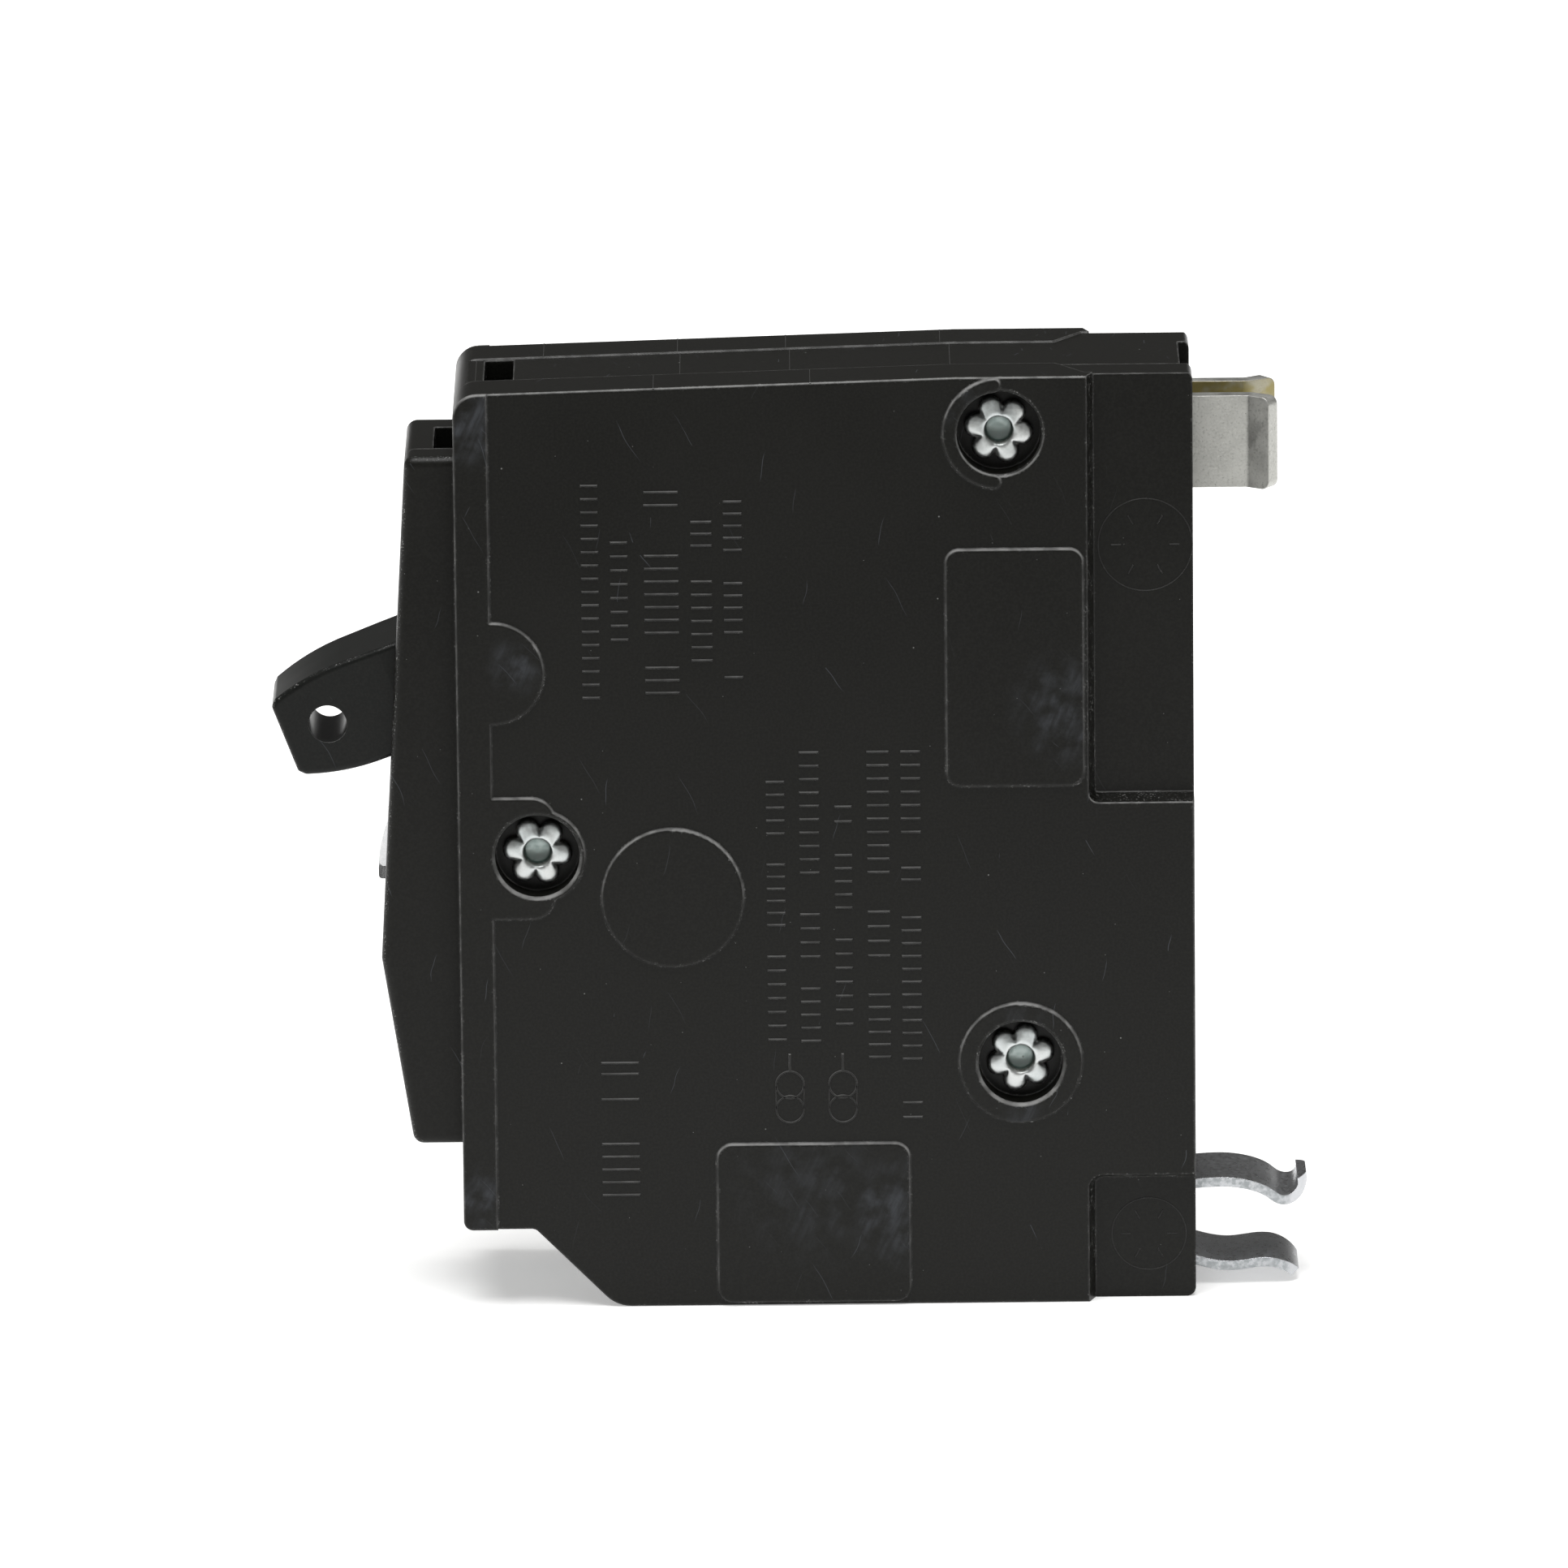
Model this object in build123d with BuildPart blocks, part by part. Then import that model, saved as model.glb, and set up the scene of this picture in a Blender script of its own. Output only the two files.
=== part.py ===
"""Single-pole plug-in miniature circuit breaker.

Frame: +X from the handle towards the panel (plug-in) side, +Y from the rivet-end
side to the rivet-head side, +Z from the load end to the line end.  The breaker
stands on its load end at Z = 0, centred on X and Y.  All lengths in millimetres.
"""
from build123d import *
from math import cos, radians, sin, tan
import os

# ---------------------------------------------------------------- driving dimensions
module_width = 19.05        # one pole space, 3/4 inch
body_height = 79.1
back_x = 33.5               # panel-side face of the case
flange_x = -27.45           # front face of the full-width case
flange_bottom_z = 6.75      # where the full-width case steps in above the load end
chamfer_front_x = -21.5
chamfer_foot_x = -14.8
top_slope_end_x = 14.0
top_front_z = 78.0
relief = 0.3                # raised pads stand this far off the side panels
relief_round = 0.22
rim_round = 0.25
flange_edge_x = -24.6       # inner edge of the raised strip beside the front face
corner_round = 2.0
small_corner_round = 0.8
chamfer_round = 3.0
recess_depth = 1.9          # hand recesses beside the plug-in side
recess_draft = 20.0
upper_recess = (24.6, 42.75)    # front edge and lower edge of the line-end recess
lower_recess = (24.45, 11.1)    # front edge and upper edge of the load-end recess
# raised pads: centre x, centre z, width, height, corner radius
raised_pads = [
    (18.7, 54.5, 11.45, 20.2, 1.2),
    (1.7, 7.15, 16.1, 13.7, 1.3),
]
handle_boss_radius = 4.35
front_boss = (-23.6, 38.63, 8.4, 10.4, 2.0)
blank_disc = (-9.75, 35.17)
blank_disc_radius = 5.93
front_rivet_boss_radius = 4.0
load_rivet_boss_radius = 5.15
wall = 1.8
band_half = 4.15            # half width of the middle band around the edge of the case
band_wide = 7.65            # and where the hand recess narrows the case
band_step = 0.15
back_band_step = 0.95
back_band_foot = 14.0
band_widening_x = 22.2      # where the middle band begins to widen
mould_hole = (2.4, 7.8)     # moulding hole in the line-end wall, along X and Y
mould_hole_x = -23.7
nose_hole = (1.6, 7.8)
nose_hole_x = -28.35

nose_half = 7.4             # half width of the raised front
nose_top_z = 72.35
nose_bottom_z = 13.65
nose_apex_z = 29.6
nose_apex_x = -34.0
nose_top_x = -31.5
nose_foot_x = -31.5
nose_round = 0.8
nose_corner_round = 0.9

handle_pivot = (-24.5, 54.4)
handle_tilt = -21.0         # handle at OFF, towards the load end
handle_throw = 42.0
handle_half = 5.1           # half width of the handle at its root
drum_radius = 7.8
lever_half = 4.5            # half thickness of the lever
lever_length = 18.55
tie_hole_radius = 1.5875    # 1/8 inch handle-tie hole
tie_hole_reach = 14.7

arm_pivot = (-11.9, 54.4)
arm_swing = 16.8            # handle_throw * 0.4
arm_half = 1.8
arm_nose_reach = 9.0

front_rivet = (-20.93, 38.83)
line_rivet = (17.53, 74.34)
load_rivet = (18.99, 20.75)
rivet_points = [front_rivet, line_rivet, load_rivet]
rivet_radius = 1.6
rivet_well_radius = 3.5
rivet_well_floor = 7.0      # distance of a rivet well's floor from the middle plane
well_mouth = 0.25           # chamfer round the top of a rivet well
collar_radius = 4.1         # half-round collar beside the line-end rivet
collar_width = 1.2
post_radius = 4.7

jaw_low_z = 68.25
jaw_high_z = 76.0
jaw_half_outer = 3.4
jaw_slot_gap = 0.25
jaw_metal = 1.3
jaw_bend_x = 38.3
jaw_end_x = 40.6
jaw_flare_angle = 35.0
jaw_bend_radius = 1.2
jaw_corner_radius = 0.7

clip_half = 4.0
clip_metal = 0.8
upper_clip_slot = (8.6, 1.2)     # middle height and height of the slots for the clip
lower_clip_slot = (2.5, 1.8)
clip_slot_gap = 0.1

lever_near_y = 2.4          # the trip lever's plate lies between these two planes
lever_far_y = 4.2
window_low_z = 35.5
window_high_z = 40.5
window_half = 3.2
lens_bulge = 0.55
lens_bulge_radius = 11.0
lens_flange = 0.6           # how far the lens flange reaches behind the window's edge

screw_z = 10.6
screw_radius = 2.05
screw_head_radius = 3.0

cavity_half = 7.4
recess_cavity_half = 6.0
inner_back_x = 31.7
front_wall_x = -25.6
shallow_x = 22.9
divider_x = -9.8            # wall between the load terminal chamber and the mechanism
terminal_roof_z = 16.4
terminal_half = 6.9
drum_room_x = -15.9
flag_room_radius = 11.3
flag_room_half = 4.6
drum_room_low_z = 45.6
drum_room_high_z = 63.2
divider_wall = 1.4
terminal_floor_z = 8.2
wire_entry_x = -18.5        # middle of the opening below the terminal
wire_entry_length = 10.2
wire_entry_top_z = 9.0
strap_slot_height = 1.6
running_gap = 0.06
clearance = 0.3             # around moving pieces inside the case

trunnion_radius = 2.4
trunnion_reach = 7.4
lever_tip_half = 4.3
arm_pin_radius = 1.3
arm_pin_reach = 8.2
nose_tip_radius = 1.1
pad_seat = 3.1
pad_height = 1.2
line_strap_z = 60.0
jaw_web_x = 30.0
hook_radius = 0.7
hook_reach = 6.6
arm_hook = (19.9, 0.6)      # spring stub, from the arm's pivot with the contacts closed
lever_hook = (-4.0, 59.5)
spring_y = 5.6
arc_half = 5.1
arc_front_x = 22.6
arc_back_x = 29.8
arc_notch_x = 25.6
arc_low_z = 45.5
arc_plate_metal = 1.0
arc_pitch = 2.6
arc_plate_count = 5
liner_metal = 0.5
liner_low_z = 44.6
liner_height = 13.6
strap_start_x = 14.6
contact_reach = 30.2        # from the arm's pivot to the middle of the contacts
contact_length = 4.6

flag_angle = 212
flag_span = 13.5
flag_radius = 9.4
flag_metal = 1.0
flag_half = 3.0
lens_seat_x = -32.4
latch_x = 0.75
latch_z = 37.4
latch_gap = 1.1
armature_x = 1.4
armature_pivot = (1.9, 17.0)
armature_pin_radius = 0.7
armature_metal = 1.0
armature_half = 4.4
bimetal_x = 7.0
bimetal_metal = 1.0
bimetal_half = 2.8
bimetal_low_z = 6.0
bimetal_length = 31.0
yoke_half = 4.4
braid_radius = 1.1
braid_start = (8.0, 34.4)
braid_bend = 2.6
toggle_coils = 10
toggle_coil_radius = 1.2
toggle_wire_radius = 0.28
coil_end_gap = 2.6          # from a spring stub to the first coil
armature_coil_pitch = 0.9
armature_coil_length = 3.6
armature_coil_radius = 1.1
armature_wire_radius = 0.2
armature_spring_z = 26.0

strap_half = 3.0
strap_z = 3.5
terminal_plate_x = -16.9
terminal_plate_metal = 1.5
terminal_plate_width = 11.0
terminal_plate_top_z = 15.4
terminal_plate_foot_z = 7.0
strap_metal = 1.2
tail_top_z = 12.0           # top of the tail that carries the bimetal
clamp_x = -22.7             # front face of the wire clamp, fully open
clamp_height = 7.6
screw_head_height = 2.6
screw_length = 6.8
driver_slot_width = 1.0
driver_slot_depth = 1.2
petal_count = 6
petal_radius = 1.0
petal_reach = 1.75          # centre of each turned-over petal from the rivet's axis
petal_height = 0.8
rivet_head_radius = 2.9
rivet_head_height = 1.2
rivet_bore_depth = 5.0
rivet_bore_radius = 1.15
calibration_x = 3.5
calibration_radius = 1.2
clip_upper_z = 8.6
clip_lower_z = 2.25
clip_end_x = 43.0
clip_web_x = 29.6
clip_end_round = 3.2

side = module_width / 2
panel = side - relief
window_mid_z = (window_low_z + window_high_z) / 2
window_height = window_high_z - window_low_z
lens_seat_width = 2 * (window_half + lens_flange + 0.1)
lens_seat_height = window_height + 2 * (lens_flange + 0.1)
jaw_opening = 2 * (jaw_half_outer + jaw_slot_gap)


# ---------------------------------------------------------------- helpers
def side_plane(point=(0, 0), turn=0.0, y=0.0):
    """Plane whose x and y run along +X and +Z, turned clockwise seen from -Y."""
    t = radians(turn)
    return Plane(origin=(point[0], y, point[1]), x_dir=(cos(t), 0, -sin(t)), z_dir=(0, -1, 0))


def polar(radius, degrees):
    return (radius * cos(radians(degrees)), radius * sin(radians(degrees)))


def outline(points, mode=Mode.ADD):
    """Polygon through the points, in the sketch being built."""
    Polygon(*points, align=None, mode=mode)


def shifted(point, move):
    return (point[0] + move[0], point[1] + move[1])


def turned(point, turn):
    """Point turned about the origin of a side plane, clockwise seen from -Y."""
    t = radians(turn)
    x, z = point
    return (x * cos(t) + z * sin(t), z * cos(t) - x * sin(t))


def edges_along_y(builder, place, axis):
    """Edges of the builder that run along Y at that place on an axis."""
    return builder.edges().filter_by(Axis.Y).filter_by_position(axis, place - 0.1, place + 0.1)


def save(builder, name):
    builder.part.label = name
    export_step(builder.part, f"parts/{name}.step")


def top_z(x):
    """Height of the line-end wall, which rises towards the plug-in side."""
    if x >= top_slope_end_x:
        return body_height
    rise = (body_height - top_front_z) / (top_slope_end_x - flange_x)
    return top_front_z + rise * (x - flange_x)


def front_line_x(z):
    """Front face of the raised nose above its apex."""
    share = (z - nose_apex_z) / (nose_top_z - nose_apex_z)
    return nose_apex_x + share * (nose_top_x - nose_apex_x)


os.makedirs("parts", exist_ok=True)

# ---------------------------------------------------------------- case, both halves in one
# raised strip, bosses, pads and collar of both side panels, each rounded along its rim
with BuildPart() as raised:
    with BuildSketch(side_plane(y=-side)) as strip:
        outline([
            (flange_edge_x, flange_bottom_z),
            (flange_edge_x, top_z(flange_edge_x)),
            (flange_x, top_front_z),
            (flange_x, flange_bottom_z),
        ])
        front = strip.vertices().sort_by(Axis.X)[0:2].sort_by(Axis.Y)
        fillet(front[-1], corner_round)
        front = strip.vertices().sort_by(Axis.X)[0:2].sort_by(Axis.Y)
        fillet(front[0], small_corner_round)
        with Locations(handle_pivot):
            Circle(handle_boss_radius)
        with Locations(front_rivet):
            Circle(front_rivet_boss_radius)
        with Locations(load_rivet):
            Circle(load_rivet_boss_radius)
        with Locations(blank_disc):
            Circle(blank_disc_radius)
        for x, z, width, height, corner in raised_pads + [front_boss]:
            with Locations((x, z)):
                RectangleRounded(width, height, corner)
        # nothing of the bosses beyond the front face
        with Locations((flange_x - 3, handle_pivot[1])):
            Rectangle(6, 60, mode=Mode.SUBTRACT)
    extrude(amount=-2 * relief)
    with BuildSketch(side_plane(y=-side)) as collar:
        with BuildLine():
            CenterArc(line_rivet, collar_radius, 88, 184)
        trace(line_width=collar_width)
        fillet(collar.vertices(), 0.45 * collar_width)
    extrude(amount=-2 * relief)
    rims = [edge for edge in raised.edges() if abs(edge.center().Y + side) < 0.001]
    fillet(rims, relief_round)
    mirror(about=Plane.XZ)


# raised front around the handle, rounded along its front edges
with BuildPart() as nose:
    with BuildSketch(Plane.XZ):
        outline([
            (flange_x + 1, nose_bottom_z),
            (nose_foot_x, nose_bottom_z),
            (nose_apex_x, nose_apex_z),
            (nose_top_x, nose_top_z),
            (flange_x + 1, nose_top_z),
        ])
    extrude(amount=nose_half, both=True)
    corners = nose.edges().filter_by(Axis.Y)
    corners = corners.filter_by_position(Axis.X, nose_apex_x - 0.1, nose_top_x + 0.1)
    fillet(corners, nose_corner_round)
    rims = nose.faces().sort_by(Axis.Y)[0].edges() + nose.faces().sort_by(Axis.Y)[-1].edges()
    fillet([edge for edge in rims if edge.center().X < flange_x + 0.9], nose_round)


with BuildPart() as housing:
    # full-width case
    with BuildSketch(Plane.XZ):
        outline([
            (flange_x, flange_bottom_z),
            (chamfer_front_x, flange_bottom_z),
            (chamfer_foot_x, 0),
            (back_x, 0),
            (back_x, body_height),
            (top_slope_end_x, body_height),
            (flange_x, top_front_z),
        ])
    extrude(amount=panel, both=True)
    fillet(edges_along_y(housing, top_front_z, Axis.Z), corner_round)
    fillet(edges_along_y(housing, back_x, Axis.X), small_corner_round)
    fillet(edges_along_y(housing, chamfer_foot_x, Axis.X), chamfer_round)
    fillet(edges_along_y(housing, flange_bottom_z, Axis.Z), small_corner_round)
    side_faces = housing.faces().sort_by(Axis.Y)
    fillet(side_faces[0].edges() + side_faces[-1].edges(), rim_round)

    add(raised.part)

    # hand recesses beside the plug-in side, with sloping walls
    for outer in (side_plane(y=-side), side_plane(y=side)):
        depth = -recess_depth if outer.origin.Y < 0 else recess_depth
        with BuildSketch(outer):
            with Locations((upper_recess[0] + 10, upper_recess[1] + 20)):
                RectangleRounded(20, 40, 1.0)
            with Locations((lower_recess[0] + 10, lower_recess[1] - 10)):
                RectangleRounded(20, 20, 1.3)
        extrude(amount=depth, taper=recess_draft, mode=Mode.SUBTRACT)

    # raised front around the handle
    add(nose.part)

    # middle band around the edge of the case, slightly below the two side strips
    with BuildSketch(Plane.XZ):
        outline([
            (flange_x + 1.2, top_z(flange_x + 1.2) - band_step),
            (top_slope_end_x, body_height - band_step),
            (back_x - back_band_step, body_height - band_step),
            (back_x - back_band_step, back_band_foot),
            (back_x + 1, back_band_foot),
            (back_x + 1, body_height + 1),
            (flange_x + 1.2, body_height + 1),
        ])
    extrude(amount=band_half, both=True, mode=Mode.SUBTRACT)
    with BuildSketch(Plane.XY.offset(body_height - band_step)):
        outline([
            (band_widening_x, band_half - 0.1),
            (upper_recess[0], band_wide),
            (back_x + 1, band_wide),
            (back_x + 1, -band_wide),
            (upper_recess[0], -band_wide),
            (band_widening_x, 0.1 - band_half),
        ])
    extrude(amount=1, mode=Mode.SUBTRACT)

    # mechanism cavity: full depth, then the shallower parts behind the hand recesses
    with BuildSketch(Plane.XZ):
        outline([
            (front_wall_x, top_z(front_wall_x) - wall),
            (top_slope_end_x, body_height - wall),
            (shallow_x, body_height - wall),
            (shallow_x, upper_recess[1] - wall),
            (inner_back_x, upper_recess[1] - wall),
            (inner_back_x, lower_recess[1] + wall),
            (shallow_x, lower_recess[1] + wall),
            (shallow_x, wall),
            (divider_x, wall),
            (divider_x, terminal_roof_z + wall),
            (front_wall_x, terminal_roof_z + wall),
            (front_wall_x, drum_room_low_z),
            (drum_room_x, drum_room_low_z),
            (drum_room_x, drum_room_high_z),
            (front_wall_x, drum_room_high_z),
        ])
        with Locations(*rivet_points):
            Circle(post_radius, mode=Mode.SUBTRACT)
    extrude(amount=cavity_half, both=True, mode=Mode.SUBTRACT)
    for low_z, high_z in ((upper_recess[1] - wall, body_height - wall), (wall, lower_recess[1] + wall)):
        with BuildSketch(Plane.XZ):
            outline([
                (shallow_x, low_z),
                (inner_back_x, low_z),
                (inner_back_x, high_z),
                (shallow_x, high_z),
            ])
        extrude(amount=recess_cavity_half, both=True, mode=Mode.SUBTRACT)

    # round room for the trip lever and its flag, about the front rivet's post
    with BuildSketch(side_plane(front_rivet)):
        Circle(flag_room_radius)
        Circle(post_radius, mode=Mode.SUBTRACT)
    extrude(amount=flag_room_half, both=True, mode=Mode.SUBTRACT)

    # drum pocket and the slot the lever sweeps through
    with BuildSketch(side_plane(handle_pivot)):
        Circle(drum_radius + clearance)
        outline([
            turned((-4, -lever_half - clearance), handle_tilt),
            turned((-20, -lever_half - clearance), handle_tilt),
            turned((-20, lever_half + clearance), handle_tilt + handle_throw),
            turned((-4, lever_half + clearance), handle_tilt + handle_throw),
        ])
        with Locations((drum_room_x - handle_pivot[0], 0)):
            Rectangle(3, 9)
    extrude(amount=handle_half + clearance, both=True, mode=Mode.SUBTRACT)
    with BuildSketch(side_plane(handle_pivot)):
        Circle(trunnion_radius + running_gap)
    extrude(amount=trunnion_reach + 0.2, both=True, mode=Mode.SUBTRACT)
    with BuildSketch(side_plane(arm_pivot)):
        Circle(arm_pin_radius)
    extrude(amount=arm_pin_reach, both=True, mode=Mode.SUBTRACT)

    # window for the trip flag, with a seat for the lens flange behind it
    with Locations((nose_apex_x, 0, window_mid_z)):
        Box(5, 2 * window_half + 0.1, window_height + 0.1, mode=Mode.SUBTRACT)
    with Locations((lens_seat_x + 1, 0, window_mid_z)):
        Box(2, lens_seat_width, lens_seat_height, mode=Mode.SUBTRACT)

    # load terminal chamber, open to the front for the driver and below for the wires
    with BuildSketch(Plane.XZ):
        outline([
            (front_wall_x, terminal_floor_z),
            (front_wall_x, terminal_roof_z),
            (divider_x - divider_wall, terminal_roof_z),
            (divider_x - divider_wall, terminal_floor_z),
        ])
    extrude(amount=terminal_half, both=True, mode=Mode.SUBTRACT)
    with Locations((wire_entry_x, 0, wire_entry_top_z / 2)):
        Box(wire_entry_length, 2 * terminal_half, wire_entry_top_z + 1, mode=Mode.SUBTRACT)
    with Locations((flange_x + 3, 0, screw_z - 4)):
        Box(6, 2 * (screw_head_radius + clearance), 8, mode=Mode.SUBTRACT)
    with Locations(Location(((flange_x + front_wall_x) / 2, 0, screw_z), (0, 90, 0))):
        Cylinder(screw_head_radius + clearance, front_wall_x - flange_x + 0.2, mode=Mode.SUBTRACT)
    with Locations((divider_x - 3.5, 0, strap_z + strap_metal / 2)):
        Box(8, 2 * strap_half + clearance, strap_slot_height, mode=Mode.SUBTRACT)
    with Locations((calibration_x, 0, 1)):
        Cylinder(calibration_radius, 4, mode=Mode.SUBTRACT)

    # plug-in side: one opening for the jaw and a slot for each clip finger
    with Locations((back_x, 0, (jaw_low_z + jaw_high_z) / 2)):
        Box(5, jaw_opening, jaw_high_z - jaw_low_z + clearance, mode=Mode.SUBTRACT)
    for slot_z, slot_height in (upper_clip_slot, lower_clip_slot):
        with Locations((back_x, 0, slot_z)):
            Box(5, 2 * (clip_half + clip_slot_gap), slot_height, mode=Mode.SUBTRACT)

    # square moulding holes in the line-end wall and above the nose
    with Locations((mould_hole_x, 0, top_z(mould_hole_x))):
        Box(*mould_hole, 5, mode=Mode.SUBTRACT)
    with Locations((nose_hole_x, 0, nose_top_z)):
        Box(*nose_hole, 8, mode=Mode.SUBTRACT)

    # rivet bores and the wells their heads sit in
    with BuildSketch(Plane.XZ):
        with Locations(*rivet_points):
            Circle(rivet_radius + 0.05)
    extrude(amount=side, both=True, mode=Mode.SUBTRACT)
    for face_y in (-rivet_well_floor, rivet_well_floor):
        with BuildSketch(side_plane(y=face_y)):
            with Locations(*rivet_points):
                Circle(rivet_well_radius)
        extrude(amount=4 if face_y < 0 else -4, mode=Mode.SUBTRACT)
    for centre, mouth_y in ((front_rivet, side), (load_rivet, side), (line_rivet, panel)):
        for face_y in (-mouth_y, mouth_y):
            with BuildSketch(side_plane(y=face_y)):
                with Locations(centre):
                    Circle(rivet_well_radius + well_mouth)
            inward = -2 * well_mouth if face_y < 0 else 2 * well_mouth
            extrude(amount=inward, taper=45, mode=Mode.SUBTRACT)

with BuildPart() as base_case:
    add(housing.part)
    split(bisect_by=Plane.XZ.offset(band_half), keep=Keep.BOTTOM)
save(base_case, "base_case")

with BuildPart() as cover_case:
    add(housing.part)
    split(bisect_by=Plane.XZ.offset(band_half), keep=Keep.TOP)
save(cover_case, "cover_case")

# tubular rivets: round head on the base side, six turned-over petals on the cover side
with BuildPart() as case_rivets:
    with BuildSketch(Plane.XZ.offset(rivet_well_floor)):
        with Locations(*rivet_points):
            Circle(rivet_radius)
    extrude(amount=-2 * rivet_well_floor)
    with BuildSketch(Plane.XZ.offset(rivet_well_floor)) as petals:
        for point in rivet_points:
            with Locations(point):
                Circle(rivet_radius + 0.1)
                with PolarLocations(petal_reach, petal_count):
                    Circle(petal_radius)
        fillet(petals.vertices(), 0.3)
    extrude(amount=petal_height)
    petal_rims = case_rivets.faces().sort_by(Axis.Y)[0:3].edges()
    fillet(petal_rims, 0.3)
    with BuildSketch(Plane.XZ.offset(-rivet_well_floor)):
        with Locations(*rivet_points):
            Circle(rivet_head_radius)
    extrude(amount=-rivet_head_height)
    head_rims = case_rivets.faces().sort_by(Axis.Y)[-3:].edges()
    fillet(head_rims, 0.6)
    with BuildSketch(Plane.XZ.offset(rivet_well_floor + petal_height)):
        with Locations(*rivet_points):
            Circle(rivet_bore_radius)
    extrude(amount=-rivet_bore_depth, mode=Mode.SUBTRACT)
save(case_rivets, "case_rivets")

# clear lens with a bulging face, held by a flange behind the window
with BuildPart() as trip_window_lens:
    with BuildSketch(Plane.XZ):
        with BuildLine():
            face_low = (front_line_x(window_low_z) - lens_bulge, window_low_z)
            face_high = (front_line_x(window_high_z), window_high_z)
            face_low_back = (lens_seat_x, window_low_z)
            face_high_back = (lens_seat_x, window_high_z)
            RadiusArc(face_low, face_high, lens_bulge_radius)
            Polyline(face_high, face_high_back, face_low_back, face_low)
        make_face()
    extrude(amount=window_half, both=True)
    outer_face = trip_window_lens.faces().sort_by(Axis.X)[0]
    fillet(outer_face.edges().sort_by(Axis.Z)[0], 0.3)
    with Locations((lens_seat_x + 0.3, 0, window_mid_z)):
        Box(0.6, 2 * (window_half + lens_flange), window_height + 2 * lens_flange)
save(trip_window_lens, "trip_window_lens")

# ---------------------------------------------------------------- handle
handle_plane = side_plane(handle_pivot, handle_tilt)
with BuildPart() as handle:
    with BuildSketch(handle_plane):
        with BuildLine():
            Line((0, lever_half), (-12, lever_half))
            ThreePointArc((-12, lever_half), (-15.3, 4.18), (-18.05, 3.45))
            Line((-18.05, 3.45), (-lever_length, 2.95))
            Line((-lever_length, 2.95), (-lever_length, 0))
            mirror(about=Plane.XZ)
            Line((0, lever_half), (0, -lever_half))
        make_face()
        Circle(drum_radius)
    extrude(amount=handle_half, both=True)
    plan = Plane(origin=handle_plane.origin, x_dir=handle_plane.x_dir, z_dir=handle_plane.y_dir)
    with BuildSketch(plan):
        outline([
            (drum_radius, handle_half),
            (-8.5, handle_half),
            (-lever_length, lever_tip_half),
            (-lever_length, -lever_tip_half),
            (-8.5, -handle_half),
            (drum_radius, -handle_half),
        ])
    extrude(amount=2 * drum_radius, both=True, mode=Mode.INTERSECT)
    grip_edges = [
        edge for edge in handle.edges()
        if handle_plane.to_local_coords(edge.center()).X < -9
    ]
    fillet(grip_edges, 0.45)
    with BuildSketch(handle_plane):
        Circle(trunnion_radius)
    extrude(amount=trunnion_reach, both=True)
    # handle-tie hole
    with BuildSketch(handle_plane):
        with Locations((-tie_hole_reach, 0)):
            Circle(tie_hole_radius)
    extrude(amount=handle_half + 1, both=True, mode=Mode.SUBTRACT)
    # mouth that drives the nose of the contact arm
    with BuildSketch(handle_plane):
        outline([
            (2.2, nose_tip_radius + 0.22),
            (3.4, nose_tip_radius + 0.22),
            (drum_radius + 1, 4.6),
            (drum_radius + 1, -4.6),
            (3.4, -nose_tip_radius - 0.22),
            (2.2, -nose_tip_radius - 0.22),
        ])
    extrude(amount=arm_half + 0.4, both=True, mode=Mode.SUBTRACT)
save(handle, "handle")

# ---------------------------------------------------------------- contacts
# drawn with the contacts closed, on a plane turned to the open position
arm_plane = side_plane(arm_pivot, arm_swing)
nose_angle = 180 + arm_swing / 2
with BuildPart() as contact_arm:
    with BuildSketch(arm_plane):
        Circle(3.0)
        outline([
            (0, 2.3),
            (24, pad_seat),
            (33.2, pad_seat),
            (33.2, 0.6),
            (26, 0.3),
            (12, -1.9),
            (0, -2.5),
        ])
        outline([
            polar(0.95, nose_angle + 90),
            polar(0.95, nose_angle - 90),
            shifted(polar(arm_nose_reach, nose_angle), polar(0.85, nose_angle - 90)),
            shifted(polar(arm_nose_reach, nose_angle), polar(0.85, nose_angle + 90)),
        ])
        with Locations(polar(arm_nose_reach, nose_angle)):
            Circle(nose_tip_radius)
        Circle(arm_pin_radius + running_gap, mode=Mode.SUBTRACT)
    extrude(amount=arm_half, both=True)
    with BuildSketch(arm_plane.offset(-arm_half)):
        with Locations(arm_hook):
            Circle(hook_radius)
    extrude(amount=-(hook_reach - arm_half))
save(contact_arm, "contact_arm")

with BuildPart() as moving_contact:
    with BuildSketch(arm_plane):
        with Locations((contact_reach, pad_seat + pad_height / 2)):
            Rectangle(contact_length, pad_height)
    extrude(amount=arm_half, both=True)
    fillet(moving_contact.edges().sort_by(Axis.Z)[-4:], 0.25)
save(moving_contact, "moving_contact")

with BuildPart() as contact_arm_pin:
    with BuildSketch(side_plane(arm_pivot)):
        Circle(arm_pin_radius)
    extrude(amount=arm_pin_reach, both=True)
save(contact_arm_pin, "contact_arm_pin")

with BuildPart() as stationary_contact:
    with Locations((arm_pivot[0] + contact_reach, 0, line_strap_z - pad_height / 2)):
        Box(contact_length + 0.4, 2 * arm_half, pad_height)
    fillet(stationary_contact.faces().sort_by(Axis.Z)[0].edges(), 0.25)
save(stationary_contact, "stationary_contact")

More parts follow.
